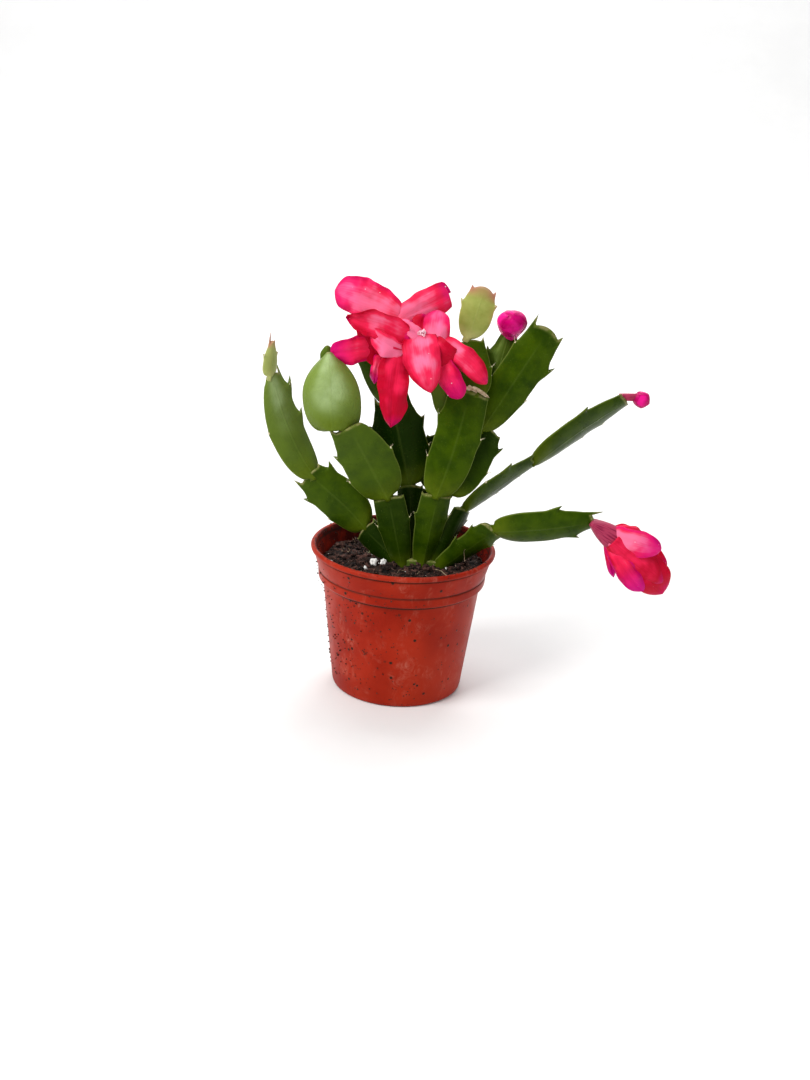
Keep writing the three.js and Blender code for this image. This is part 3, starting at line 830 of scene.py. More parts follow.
class Finish(Enum):
    """Every finish of the plant and its pot."""

    POT = PotPlastic()
    SOIL = PottingSoil("potting_soil")
    CRUMB = PottingSoil("soil_crumb", dark=(0.008, 0.004, 0.003), brown=(0.10, 0.043, 0.032),
                        grain=2.6, pale=(0.32, 0.20, 0.16))
    PERLITE = Speckled("perlite", (0.66, 0.64, 0.60), (0.90, 0.89, 0.86), 0.7, 0.25)
    FIBRE = Speckled("root_fibre", (0.16, 0.10, 0.06), (0.48, 0.36, 0.24), 1.2, 0.05)
    STEM = StemSkin("stem_skin")
    YOUNG = StemSkin("young_stem_skin", deep=(0.23, 0.29, 0.05), middle=(0.37, 0.43, 0.11),
                     light=(0.52, 0.56, 0.22), foot=(0.50, 0.52, 0.20), rim=(0.62, 0.58, 0.34),
                     blush=(0.46, 0.17, 0.13), blushing=0.9)
    BRISTLE = Speckled("areole_bristle", (0.50, 0.42, 0.24), (0.78, 0.74, 0.55), 0.5, 0.03)
    HUSK = Speckled("dry_flower_husk", (0.42, 0.27, 0.15), (0.72, 0.60, 0.42), 1.0, 0.12)
    PETAL = PetalSilk("petal_silk")
    BUD = PetalSilk("bud_silk", pale=(0.97, 0.16, 0.52), pink=(0.90, 0.012, 0.28),
                    crimson=(0.48, 0.0, 0.11), magenta=(0.84, 0.004, 0.25),
                    roughness=(0.18, 0.30), soft=0.05)
    STAMEN = Speckled("stamen", (0.92, 0.42, 0.56), (0.97, 0.66, 0.74), 0.8, 0.02, (0.4, 0.6))
    FLOOR = Speckled("studio_floor", (0.83, 0.83, 0.83), (0.85, 0.85, 0.85), 60, 0.02, (0.75, 0.85))

    def material(self) -> bpy.types.Material:
        """The finish's material, made once."""
        return bpy.data.materials.get(self.value.name) or self.value.make()


# ---------------------------------------------------------------- pot and soil
@dataclass(frozen=True)
class Pot:
    """The thin-walled pot: a tapered wall, a wider band and a rolled lip, in millimetres.

    patch is how far the ring of faces for the drain holes reaches to either side of their
    circle, hole_steps how many half steps each hole's patch takes, rounded the outline's
    points that are rounded, and warp how far the wall is out of true.
    """

    height: float = 48.4
    base: float = 21.5
    wall: float = 0.9
    step_z: float = 36.6
    step: float = 25.7
    band_low: float = 27.2
    band_high: float = 28.9
    lip: float = 30.0
    lip_height: float = 1.6
    segments: int = 144
    drain_circle: float = 14.5
    drain_radius: float = 2.2
    drains: int = 6
    floor: float = 1.4
    patch: float = 2.9
    hole_steps: float = 5.1
    rounding: float = 0.22
    rounded: tuple[int, int] = (6, 28)
    warp: float = 0.0035

    def profile(self) -> list[tuple[float, float]]:
        """The wall's outline.

        Returns:
            Its points, from the middle of the underside round the lip to the middle of the floor.
        """
        base, step, step_z, lip, top = self.base, self.step, self.step_z, self.lip, self.height
        low, high, wall, brim = self.band_low, self.band_high, self.wall, top - self.lip_height
        strips = [self.drain_circle + x for x in (-self.patch, -1, 1, self.patch)]
        return [
            (0, 0), *((r, 0) for r in strips), (base - 1.2, 0), (base - 0.3, 0.4), (base, 1.4),
            (base + 0.4, 5), (step - 0.25, step_z - 2), (step, step_z), (low - 0.3, step_z + 0.4),
            (low, step_z + 0.9), (low + 0.15, step_z + 3.1), (low - 0.15, step_z + 3.5),
            (low + 0.1, step_z + 3.8), (high, brim - 0.8), (high - 0.15, brim - 0.3),
            (lip - 0.2, brim), (lip, brim + 0.8), (lip - 0.4, top - 0.2), (lip - 0.9, top),
            (lip - 1.6, top - 0.3), (high - wall, brim), (low - wall, step_z + 1.6),
            (step - wall, step_z - 0.4), (base - wall, 2), (base - wall - 0.6, self.floor),
            *((r, self.floor) for r in reversed(strips)), (0, self.floor),
        ]

    def build(self) -> bpy.types.Object:
        """Spins the wall, opens the drain holes and places the pot.

        Returns:
            The object.
        """
        bm = lathe(self.profile(), self.segments, self.rounding, self.rounded)
        self.drain(bm)
        for vert in bm.verts:
            lean = wander(Vector((vert.co.x, vert.co.y, 0)).normalized() * 10, 7.0, 3.0)
            rise = clamp(vert.co.z / (self.height * MM))
            vert.co.xy *= 1 - self.warp * (lean + 0.4) ** 2 * rise**2
        bmesh.ops.recalc_face_normals(bm, faces=bm.faces[:])
        return Piece("nursery_pot", "pot", ("pot",)).place(bm, Finish.POT.material())

    def drain(self, bm: bmesh.types.BMesh) -> None:
        """Cuts the round drain holes through the floor.

        Args:
            bm: The pot's mesh.
        """
        for hole in range(self.drains):
            turn = 2 * math.pi * (hole + 0.5) / self.drains
            centre = Vector((math.cos(turn), math.sin(turn), 0)) * self.drain_circle * MM
            bm.normal_update()
            patch = [face for face in bm.faces if self.cuts(face, turn)]
            edge = {e for face in patch for e in face.edges
                    if sum(f in patch for f in e.link_faces) == 1}
            rim = {v for e in edge for v in e.verts}
            bmesh.ops.delete(bm, geom=patch, context="FACES")
            bmesh.ops.bridge_loops(bm, edges=[e for e in edge if e.is_valid])
            for vert in rim:
                away = Vector((vert.co.x, vert.co.y, 0)) - centre
                vert.co.xy = (centre + away.normalized() * self.drain_radius * MM).xy

    def cuts(self, face: bmesh.types.BMFace, turn: float) -> bool:
        """Whether a face of the floor lies where a drain hole goes.

        Args:
            face: The face.
            turn: The hole's angle round the pot.

        Returns:
            Whether it is cut away.
        """
        spot = face.calc_center_median()
        apart = (math.atan2(spot.y, spot.x) - turn + math.pi) % (2 * math.pi) - math.pi
        beside = abs(apart) < self.hole_steps * math.pi / self.segments
        ringed = abs(spot.xy.length / MM - self.drain_circle) < self.patch
        return beside and ringed and abs(face.normal.z) > 0.99 and spot.z < 2 * MM


@dataclass(frozen=True)
class Soil:
    """The potting soil, its loose crumbs, fibres and white perlite, in millimetres.

    rings and segments part its top, and lift is how far its crumbly skin stands over the even
    height. loose, lip and wall are the counts of crumbs on the soil, the lip and the outer
    wall. grains are the place and size of the large white grains, and specks the count of
    small ones. threads is the count of fibres within reach of the axis, and raised holds the
    points and the two radii of those that stand up.
    """

    level: float = 42.0
    radius: float = 26.0
    seed: int = 7
    grains: tuple[tuple[float, float, float], ...] = (
        (-9.2, -4.8, 1.35), (-6.2, -3.9, 1.2), (-11.6, -9.6, 0.95), (-23.0, -5.6, 0.7),
    )
    rings: int = 64
    segments: int = 240
    lift: float = 0.35
    loose: int = 1900
    lip: int = 120
    wall: int = 170
    specks: int = 22
    threads: int = 46
    reach: float = 25.0
    raised: tuple[tuple[tuple[Point, ...], float, float], ...] = (
        (((10.6, -12, 44.8), (12.4, -14, 45.2), (13.6, -16.4, 45.0), (15.4, -18.6, 44.9)),
         0.24, 0.1),
        (((19.6, -8, 43.4), (19.9, -8, 46.6), (19.4, -7.4, 49.6), (20.4, -7, 51.6)), 0.16, 0.06),
    )

    def height(self, x: float, y: float) -> float:
        """The height of the soil's uneven top.

        Args:
            x: The point's place across, in millimetres.
            y: Its place in depth, in millimetres.

        Returns:
            The height over that point, in millimetres.
        """
        lumps = 0.45 * math.sin(x * 0.55 + 1.3) * math.cos(y * 0.48)
        lumps += 0.3 * math.sin(x * 0.9 - y * 0.8)
        heap = 1.5 * clamp((math.hypot(x, y) - 17) / 8) * clamp((6 - y) / 20)
        return self.level + lumps + 0.025 * x - 0.03 * y + heap

    def bed(self) -> bpy.types.Object:
        """The body of soil, with a crumbly top.

        Returns:
            The object.
        """
        outline = [(0, 1.9), (19, 1.9), (20.4, 4), (24, 35), (24.3, 37), (self.radius - 0.6, 38.8)]
        outline += [(self.radius * (1 - i / self.rings), self.level) for i in range(self.rings + 1)]
        bm = lathe(outline, self.segments)
        for vert in bm.verts:
            if vert.co.z > (self.level - 0.1) * MM:
                spot = vert.co / MM
                rough = 0.55 * noise.fractal(spot / 2.4, 1.0, 2.1, 4)
                rough += 0.25 * wander(spot, 0.9, 5.0)
                vert.co.z = (self.height(spot.x, spot.y) + self.lift + rough) * MM
        bmesh.ops.recalc_face_normals(bm, faces=bm.faces[:])
        return Piece("soil_bed", "soil", ("soil",)).place(bm, Finish.SOIL.material())

    def chip(self, bm: bmesh.types.BMesh, draw: random.Random, spot: Vector, size: float,
             fine: int = 1) -> None:
        """Adds one uneven lump.

        Args:
            bm: The mesh it joins.
            draw: Where its random numbers come from.
            spot: Its middle, in millimetres.
            size: Its radius, in millimetres.
            fine: How many times its faces are split.
        """
        angle = draw.uniform(0, 6.28)
        turn = Matrix.Rotation(angle, 4, Vector((draw.random(), draw.random(), 1)).normalized())
        wide, tall = draw.uniform(0.6, 1), draw.uniform(0.45, 0.8)
        shape = Matrix.Diagonal((size, size * wide, size * tall, 1))
        made = bmesh.ops.create_icosphere(bm, subdivisions=fine, radius=MM,
                                          matrix=Matrix.Translation(spot * MM) @ turn @ shape)
        for vert in made["verts"]:
            away = vert.co - spot * MM
            vert.co = spot * MM + away * (1 + 0.45 * wander(vert.co / MM, 0.6 * size, 9.0))

    def crumbs(self) -> bpy.types.Object:
        """Loose crumbs over the soil, a few on the lip and the outer wall.

        Returns:
            The object.
        """
        bm = bmesh.new()
        draw = random.Random(self.seed)
        for _ in range(self.loose):
            x, y, _ = scatter(draw, self.radius - 0.3)
            size = draw.choice((0.22, 0.3, 0.42, 0.42, 0.6, 0.6, 0.85, 1.15))
            self.chip(bm, draw, Vector((x, y, self.height(x, y) + self.lift + 0.3 * size)), size)
        spots = ((29.2, 48.3), (28.4, 47.6), (27.3, 45.6), (26.9, 44.8), (26.6, 43.8))
        for _ in range(self.lip):
            turn = draw.uniform(0, 2 * math.pi)
            size = draw.uniform(0.14, 0.34)
            reach, z = draw.choice(spots)
            self.chip(bm, draw, around(reach, turn, z), size)
        for _ in range(self.wall):
            turn, z = draw.gauss(-2.6, 0.5), draw.uniform(4, 45)
            reach = 21.65 + 4.1 * (z - 1.4) / 35.2 if z < 36 else 27.4 + 0.16 * (z - 37)
            self.chip(bm, draw, around(reach, turn, z), draw.uniform(0.14, 0.4))
        return Piece("soil_crumbs", "soil").place(bm, Finish.CRUMB.material(), smooth=False)

    def perlite(self) -> bpy.types.Object:
        """The white grains that lie on the soil.

        Returns:
            The object.
        """
        bm = bmesh.new()
        draw = random.Random(self.seed + 1)
        for x, y, size in self.grains:
            spot = Vector((x, y, self.height(x, y) + self.lift + size * 0.8))
            self.chip(bm, draw, spot, size, fine=4)
        for _ in range(self.specks):
            x, y, _ = scatter(draw, self.reach)
            size = draw.uniform(0.15, 0.42)
            self.chip(bm, draw, Vector((x, y, self.height(x, y) + 0.75)), size, fine=2)
        nodes = ("perlite_large", "perlite_middle", "perlite_small")
        return Piece("perlite_grains", "perlite", nodes).place(bm, Finish.PERLITE.material())

    def fibres(self) -> bpy.types.Object:
        """Fine root fibres that lie in curves on the soil.

        Returns:
            The object.
        """
        strands = Strands()
        draw = random.Random(self.seed + 2)
        for _ in range(self.threads):
            x, y, turn = scatter(draw, self.reach)
            way = Vector((math.cos(turn + 2), math.sin(turn * 3), 0)).normalized()
            across = Vector((-way.y, way.x, 0))
            long = draw.uniform(1.5, 5.5)
            line = []
            for i in range(7):
                spot = Vector((x, y, 0)) + way * long * i / 6
                spot += across * math.sin(i * 0.9 + turn) * long * 0.12
                if spot.length > self.radius - 0.5:
                    break
                spot.z = self.height(spot.x, spot.y) + 0.95 + 0.25 * math.sin(i * 1.3 + turn)
                line.append(spot)
            if len(line) > 2:
                strands.add(line, draw.uniform(0.06, 0.13), 0.04)
        for points, thick, thin in self.raised:
            strands.add([Vector(point) for point in points], thick, thin)
        return Piece("root_fibres", "soil").place(strands.done(), Finish.FIBRE.material())

    def build(self) -> None:
        """Builds the bed and all that lies on it."""
        self.bed()
        self.crumbs()
        self.perlite()
        self.fibres()


# ---------------------------------------------------------------- thin strands
class Strands:
    """One mesh of thin tapered strands, each a square ring extruded along a line."""

    def __init__(self) -> None:
        """Starts an empty mesh."""
        self.bm = bmesh.new()

    def add(self, line: list[Vector], thick: float, thin: float) -> None:
        """Adds one strand.

        Args:
            line: Its points, in millimetres.
            thick: Its radius at the start, in millimetres.
            thin: Its radius at the end, in millimetres.
        """
        ways = [(b - a).normalized() for a, b in zip(line, line[1:])]
        ways.append(ways[-1])
        turn = Vector((0, 0, 1)).rotation_difference(ways[0]).to_matrix().to_4x4()
        foot = Matrix.Translation(line[0] * MM) @ turn
        made = bmesh.ops.create_circle(self.bm, cap_ends=True, segments=4, radius=thick * MM,
                                       matrix=foot)
        face = made["verts"][0].link_faces[0]
        size = thick
        for i in range(1, len(line)):
            grown = bmesh.ops.extrude_face_region(self.bm, geom=[face])["geom"]
            face = next(e for e in grown if isinstance(e, bmesh.types.BMFace))
            swing = ways[i - 1].rotation_difference(ways[i]).to_matrix()
            smaller = thick + (thin - thick) * i / (len(line) - 1)
            for vert in face.verts:
                vert.co = line[i] * MM + swing @ (vert.co - line[i - 1] * MM) * (smaller / size)
            size = smaller

    def done(self) -> bmesh.types.BMesh:
        """The mesh, with every face turned outwards."""
        bmesh.ops.recalc_face_normals(self.bm, faces=self.bm.faces[:])
        return self.bm


# ---------------------------------------------------------------- the stems
BASAL = {"thick": 3.6, "neck": 0.42, "end": 0.96, "belly": 0.85, "rise": 0.8, "keel": 0.5,
         "horns": (1.2, 1.0)}
YOUNG = {"thick": 1.5, "neck": 0.26, "keel": 0.7, "cup": 0.4, "root": 1.4}


def basal(start: Point, stop: Point, width: float, **more: object) -> Blade:
    """A thick old segment that rises from the soil."""
    return Blade(start, stop, width, **(BASAL | more))


@dataclass(frozen=True)
class Branch:
    """Some segments that have grown together, as one piece.

    step and columns are how finely each segment's sheet is parted, in millimetres and strips.
    """

    name: str
    node: str
    blades: tuple[Blade, ...]
    finish: Finish = Finish.STEM
    slot: str = "stem"
    step: float = 0.45
    columns: int = 22

    def build(self) -> bpy.types.Object:
        """Lays a sheet on each segment and joins them in one mesh.

        Returns:
            The object.
        """
        sheets = Sheets()
        for blade in self.blades:
            sheets.add(blade, self.step, self.columns)
        piece = Piece(self.name, self.slot, (self.node,))
        return piece.place(sheets.done(), self.finish.material())


# The tone of each segment is partly its own colour and partly painted light: low values paint shade
# on the basal segments and those behind, high ones a sheen.
BRANCHES = (
    Branch("base_stems", "stem_base", (
        basal((6.2, -2, 24), (6.2, -2, 43.6), 17, thick=7.4, neck=0.6, keel=0.8, cup=0, horns=0.0,
              tone=0.35),
        basal((0, -2, 42), (-12.2, 2.6, 51.4), 9, horns=(0.6, 1.2), left=((0.62, 1),),
              right=((0.7, 0.9),), tone=-0.7),
        basal((0, -3, 42), (-5.4, -3, 64.2), 10.2, horns=(0.6, 0.8), left=((0.6, 0.8),),
              right=((0.66, 0.9),), tone=-0.5),
        basal((3, -1, 42), (1.2, 4.8, 66), 8.5, right=((0.6, 0.9),), tone=-0.7),
        basal((5, -1, 40), (9.4, 7, 64.2), 8.5, horns=0.5, tone=-0.7),
        basal((6, -3, 42), (9.6, -4, 66.3), 10, thick=4.6, keel=0.36, facing=12, left=((0.7, 1.2),),
              right=((0.72, 0.9),), tone=-0.15),
        basal((10, -2.4, 42), (18.5, 2.6, 59.7), 8, facing=38, horns=(0.2, 0.8),
              left=((0.42, 1.1), (0.74, 1)), right=((0.86, 1),), tone=-0.7),
        basal((10.8, -3, 41.4), (27.6, -8, 57.4), 8.6, facing=14, left=((0.5, 1.9), (0.8, 1.8)),
              right=((0.82, 1.8),), horns=(-0.8, 4.4), tone=-0.2),
    )),
    Branch("far_left_stems", "branch_far_left", (
        Blade((-12.7, 2.9, 52.2), (-31, 5, 68), 14.4, sway=0.9, belly=(0.6, 0.42), horns=(3, 1.4),
              end=(0.7, 0.62), left=((0.4, 0.7), (0.79, 1.8)), right=((0.47, 0.9), (0.88, 2.4)),
              tone=0.1),
        Blade((-30.4, 5, 67.6), (-44.9, 13, 98.2), 12.6, facing=38, sway=-1.4, bow=-1.4,
              end=(0.4, 0.55), horns=(-0.8, 5.4), left=((0.5, 0.4),),
              right=((0.58, 2.4), (0.86, 3.6)), tone=0.45),
    )),
    Branch("left_stems", "branch_left", (
        Blade((-5.9, -3.4, 65.1), (-18.5, -7, 88.4), 16.4, horns=(2.4, -0.4), end=(0.76, 0.46),
              left=((0.34, 0.7), (0.69, 1.7)), right=((0.53, 0.9),), tone=0.2, crown=0.2),
        Blade((-18.6, -5.6, 86.4), (-21.0, -5.0, 92.0), 4.6, thick=3, neck=0.8, end=0.8, horns=0.0,
              tone=0.1),
        Blade((-23.8, -6.2, 86.7), (-26.2, 0.6, 109.6), 18.2, thick=5.6, neck=(0.36, 0.6),
              belly=(0.45, 0.36), end=0.17, keel=0.9, cup=2.8, bow=1.6, horns=0.0, root=0.0,
              tone=0.66, crown=0.4, lumps=0.5),
        Blade((-26.8, 2, 106.4), (-27.0, 2.4, 110.6), 4.6, thick=1.8, neck=0.9, end=0.6, belly=0.5,
              horns=0.0, tone=0.3),
    )),
    Branch("back_stems", "branch_back", (
        Blade((0.9, 5.2, 66.7), (-6.2, 8, 93.4), 17, horns=(2.4, 4), tone=-0.9,
              left=((0.4, 0.7), (0.72, 1.4)), right=((0.4, 0.8), (0.73, 2.6))),
        Blade((-7, 8, 93), (-14, 10.4, 113.4), 12.4, facing=-12, tone=-0.5, horns=(2, 1),
              belly=(0.66, 0.5), left=((0.7, 0.8),), right=((0.5, 0.8),)),
    )),
    Branch("behind_stem", "branch_behind", (
        Blade((9.7, 7.4, 64.9), (9.6, 13, 81), 12.5, tone=-0.6, left=((0.7, 1),),
              right=((0.5, 1.2),)),
    )),
    Branch("centre_stems", "branch_centre", (
        Blade((9.6, -5, 66.9), (17.6, 0.6, 99.2), 14.2, sway=0.8, end=(0.86, 0.92), neck=(0.3, 0.2),
              keel=0.7, horns=(0.6, 0.8), left=((0.32, 0.5), (0.73, 2)), right=((0.6, 0.9),)),
        Blade((12, 0.8, 91.4), (8.6, 5, 105), 8.2, thick=2, horns=0.8, left=((0.6, 0.6),),
              right=((0.7, 0.6),), tone=0.3),
        Blade((20, 1, 98.6), (17.4, 12, 112.6), 11.5, end=0.8, horns=(1, 2.2), left=((0.6, 1),),
              right=((0.5, 1),)),
    )),
    Branch("right_stems", "branch_right", (
        Blade((13.4, -1.6, 67), (25, 5, 86.2), 13.4, facing=-16, horns=(1.4, 0.6), tone=-0.6,
              left=((0.5, 1),), right=((0.5, 0.6), (0.84, 2))),
        Blade((22.6, 4.2, 86.8), (40.6, 8, 117.6), 13.4, end=(0.8, 0.8), belly=(0.5, 0.62),
              horns=(4.4, 2.6), neck=(0.24, 0.16), crown=2.4, left=((0.42, 0.5), (0.78, 0.8)),
              right=((0.4, 0.5), (0.73, 2.8))),
        Blade((23.0, 5.6, 86.6), (30.4, 17.4, 116.6), 10.5, facing=-10, horns=(0.4, 0.6), end=0.4,
              left=((0.47, 1.4), (0.74, 2.2)), right=((0.56, 1),), tone=0.2),
    )),
    Branch("far_right_stems", "branch_far_right", (
        Blade((18.9, 2.8, 60.4), (40, 11, 74.6), 12.5, facing=52, sway=-1, horns=(2.8, 0.6),
              left=((0.34, 0.6), (0.68, 1.9)), right=((0.45, 0.8), (0.8, 0.9))),
        Blade((40.8, 11, 75), (68.6, 17, 95.2), 13.5, facing=45, sway=-1.7, horns=(0.6, 1.6),
              left=((0.62, 2),), right=((0.5, 0.8), (0.72, 0.9)), tone=-0.2),
    )),
    Branch("low_right_stem", "branch_low_right", (
        Blade((28.4, -8.2, 58), (58, -12, 63.8), 11.6, facing=16, horns=(4.2, 0.4), end=0.5, bow=1,
              left=((0.66, 2.2),), right=((0.81, 1.6),)),
    )),
    Branch("young_left", "young_segment_left", (
        Blade((-45.7, 12.0, 98.4), (-45.0, 13, 108.8), 6.1, facing=48, end=0.36, horns=(3.8, 1.6),
              left=((0.62, 0.9),), right=((0.7, 0.4),), tone=0.4, belly=0.3, **YOUNG),
    ), Finish.YOUNG, "young_stem"),
    Branch("young_top", "young_segment_top", (
        Blade((16.6, 12.4, 114.4), (20.6, 15, 128.4), 10.6, end=0.74, belly=(0.6, 0.5), rise=0.7,
              sway=0.2, horns=(1.5, 1.7), left=((0.7, 1.5),), right=((0.8, 1.1),), tone=0.12,
              crown=2.0, bite=0.8, **YOUNG),
    ), Finish.YOUNG, "young_stem"),
)


@dataclass(frozen=True)
class Bristles:
    """The tuft of pale hairs and the felted pad in each notch of the margins."""

    hairs: int = 3
    long: float = 1.5
    seed: int = 21

    def build(self) -> bpy.types.Object:
        """Grows a tuft in every notch.

        Returns:
            The object.
        """
        strands = Strands()
        draw = random.Random(self.seed)
        for branch in BRANCHES:
            share = 0.5 if branch.finish is Finish.YOUNG else 1.0
            for blade in branch.blades:
                for spot, out, ahead in blade.notches():
                    self.tuft(strands, draw, spot, out, ahead, share)
        return Piece("areole_bristles", "stem").place(strands.done(), Finish.BRISTLE.material())

    def tuft(self, strands: Strands, draw: random.Random, spot: Vector, out: Vector, ahead: Vector,
             share: float) -> None:
        """Adds one notch's pad and hairs.

        Args:
            strands: The mesh they join.
            draw: Where its random numbers come from.
            spot: The notch's point, in millimetres.
            out: The way out of it across the blade.
            ahead: The way along the blade.
            share: The share of their full length that the hairs have.
        """
        across = out.cross(ahead)
        turn = Matrix((out, ahead, across)).transposed().to_4x4()
        pad = Matrix.Translation(spot * MM) @ turn @ Matrix.Diagonal((0.28, 0.5, 0.42, 1))
        bmesh.ops.create_icosphere(strands.bm, subdivisions=1, radius=MM, matrix=pad)
        for _ in range(self.hairs):
            way = out * draw.uniform(0.4, 1) + ahead * draw.uniform(0.4, 1.2)
            way += across * draw.uniform(-0.5, 0.5)
            bend = ahead * draw.uniform(-0.5, 0.6) + across * draw.uniform(-0.4, 0.4)
            long = self.long * share * draw.uniform(0.5, 1.3)
            line = [spot + (way.normalized() * s + bend * s * s * 0.6) * long for s in STRAND_MARKS]
            strands.add(line, 0.06, 0.02)


# ---------------------------------------------------------------- blooms and buds
PETAL = {"thick": 0.6, "neck": 0.5, "end": 0.4, "belly": 0.55, "keel": 0.8, "cup": 0.8,
         "horns": 0.0, "rim": 0.35, "tip": 0.24, "curl": 0.7, "ripple": 1.9, "lumps": 0.9,
         "crown": 0.0, "root": 0.0, "fold": 0.45}
TUBE = {"neck": 0.62, "end": 0.9, "belly": 0.7, "cup": 0.0, "horns": 0.0, "round": True,
        "crown": 0.0, "root": 0.0}


def petal(start: Point, stop: Point, width: float, tone: float, **more: object) -> Blade:
    """A thin petal; the lower its tone, the paler it is."""
    return Blade(start, stop, width, tone=tone, **(PETAL | more))


def tube(start: Point, stop: Point, width: float, thick: float, tone: float,
         **more: object) -> Blade:
    """A round tube or spindle."""
    return Blade(start, stop, width, thick, tone=tone, **(TUBE | more))


@dataclass(frozen=True)
class Bloom:
    """A flower or bud: its tubes, petals and wrapped scales, as one piece.

    step is how finely each form's sheet is parted along it, in millimetres. columns and
    round_columns are the counts of strips across a flat form and a round one.
    """

    name: str
    node: str
    forms: tuple[Blade | Scale, ...]
    finish: Finish = Finish.PETAL
    slot: str = "petal"
    step: float = 0.35
    columns: int = 18
    round_columns: int = 24

    def build(self) -> bpy.types.Object:
        """Lays a sheet on each form and joins them in one mesh.

        Returns:
            The object.
        """
        sheets = Sheets()
        for form in self.forms:
            columns = self.round_columns if getattr(form, "round", False) else self.columns
            sheets.add(form, self.step, columns)
        piece = Piece(self.name, self.slot, (self.node,))
        return piece.place(sheets.done(), self.finish.material())


OPEN_TUBE = tube((-14.6, 8.4, 114.6), (-0.6, -3.4, 118.4), 8.4, 8.4, 0.1)
OPEN_FLOWER = Bloom("open_flower_petals", "open_flower", (
    OPEN_TUBE,
    petal((-5.0, 0.8, 123.2), (-25.7, 5, 128.4), 12.2, -0.06, neck=0.3, end=(0.52, 0.66),
          belly=(0.58, 0.62), tip=0.14, bow=1.2, sway=0.8, flush=0.35),
    petal((-5.2, 0.6, 121.6), (9.8, 4, 129.4), 9.4, -0.12, neck=0.35, end=(0.9, 0.84),
          belly=(0.6, 0.7), tip=0.04, bow=1.2, horns=(0.9, 0.0)),
    petal((-12.4, 3.2, 112.0), (-25.6, 0, 109.6), 8.2, 0.42, neck=0.8, bow=1.4, end=0.66, tip=0.12,
          flush=0.5),
    # A rear petal coloured deep crimson as painted shade under the front petals.
    petal((-15.4, 3, 122), (-10.4, 1.6, 105.6), 8.6, 1.1, end=0.4, neck=0.8, cup=-0.6),
    petal((-10.8, 1.7, 109.6), (-12, 3.2, 99.8), 4, 0.3, bow=0.6, flush=0.8),
    petal((-4.8, -1.4, 114), (-6.0, -5.4, 88.6), 9.8, 0.7, bow=2.4, end=(0.2, 0.1),
          belly=(0.62, 0.42), tip=0.1, sway=0.5, ripple=2.4),
    petal((-1.8, -4.4, 117.8), (-21.4, 0, 121.6), 11.4, 0.3, bow=1.8, sway=1.9, end=0.1, neck=0.75,
          belly=0.3, cup=-1.6, facing=-24, tip=0.1),
    petal((-3.0, -3.4, 112.6), (-13.8, -2.2, 118.4), 7.0, -0.3, bow=1.6, end=0.5, neck=0.8,
          belly=0.4, facing=-20, cup=-1.0),
    petal((5.8, -4, 114.2), (6.8, -2, 125.4), 8.2, -0.22, bow=1.8, end=0.7, neck=0.8, tip=0.2,
          flush=0.3),
    petal((1.0, -3, 116.6), (2.6, -2, 124.0), 6.6, 0.8, bow=1, end=0.6, neck=0.8),
    petal((3.0, -4.6, 116.0), (-4.4, -4.0, 122.4), 4.4, -0.7, bow=1.4, end=0.5, neck=0.7,
          facing=20),
    petal((7.6, -4.4, 116.4), (22.8, -6, 104.2), 7.4, 0.2, bow=2.6, sway=-1.6, end=0.36, belly=0.5,
          tip=0.16),
    # A darker petal, painted shade in the fold between the front petals.
    petal((4.6, -5, 116), (13.2, -6.6, 109.6), 8.4, 0.9, bow=2.2, end=0.45),
    petal((6.4, -5, 113.4), (15.2, -8, 99.8), 7.4, 0.6, bow=2.0, end=0.6, tip=0.16, belly=0.6,
          flush=0.4),
    petal((1.0, -5, 117.8), (5.7, -10, 101.6), 11.6, 0.1, bow=3.4, end=0.14, neck=0.8, belly=0.34,
          tip=0.1),
))
HALF_TUBE = tube((58.0, -12.2, 63.8), (68.4, -13, 57.2), 8.2, 7.4, 1.5, neck=0.22, belly=0.99,
                 end=1.0, rise=1.0)
HALF_CORE = tube((65.4, -12.6, 58.8), (82.6, -13.0, 45.4), 10, 8.4, 0.75, neck=0.66, belly=0.55,
                 end=0.7, tip=0.4)
HALF_OPEN_FLOWER = Bloom("half_open_petals", "half_open_flower", (
    HALF_TUBE,
    HALF_CORE,
    petal((66, -9.4, 59.4), (84.2, -9.0, 48.0), 8.6, 0.6, bow=-1.2, end=0.6),
    petal((69.6, -12.8, 57.2), (83.2, -13.6, 40.8), 11.6, 0.95, bow=1.6, end=(0.7, 0.6), sway=-0.9,
          belly=0.66, tip=0.34, ripple=0.6),
    petal((64.6, -10.6, 61.0), (75.6, -9.4, 60.7), 3.6, 0.35, bow=1, facing=-50, end=0.2, tip=0.1),
    petal((65.0, -14.2, 57.6), (76.4, -16.2, 42.6), 6.4, 0.45, bow=2, end=0.5, neck=0.7, tip=0.16,
          sway=0.9, flush=0.8),
    petal((65.0, -14.0, 60.3), (80.0, -17.6, 57.4), 8.6, 0.0, bow=1.8, sway=-0.2, end=0.3, neck=0.5,
          tip=0.08, flush=0.6),
    petal((62.4, -14.2, 60.2), (71.2, -16.0, 53.6), 5.2, 0.1, bow=0.8, end=0.3, neck=0.4, tip=0.12,
          flush=0.3),
    petal((63.6, -13.4, 57.0), (67.0, -14.4, 46.0), 2.9, 0.5, bow=0.5, end=0.5, ripple=0.4,
          flush=0.95),
))
BUD_CORE = tube((30.4, 16.4, 117.6), (30.2, 9.4, 122.6), 8.8, 8.8, 0.35, neck=0.56, belly=0.55,
                end=0.6, tip=0.4)
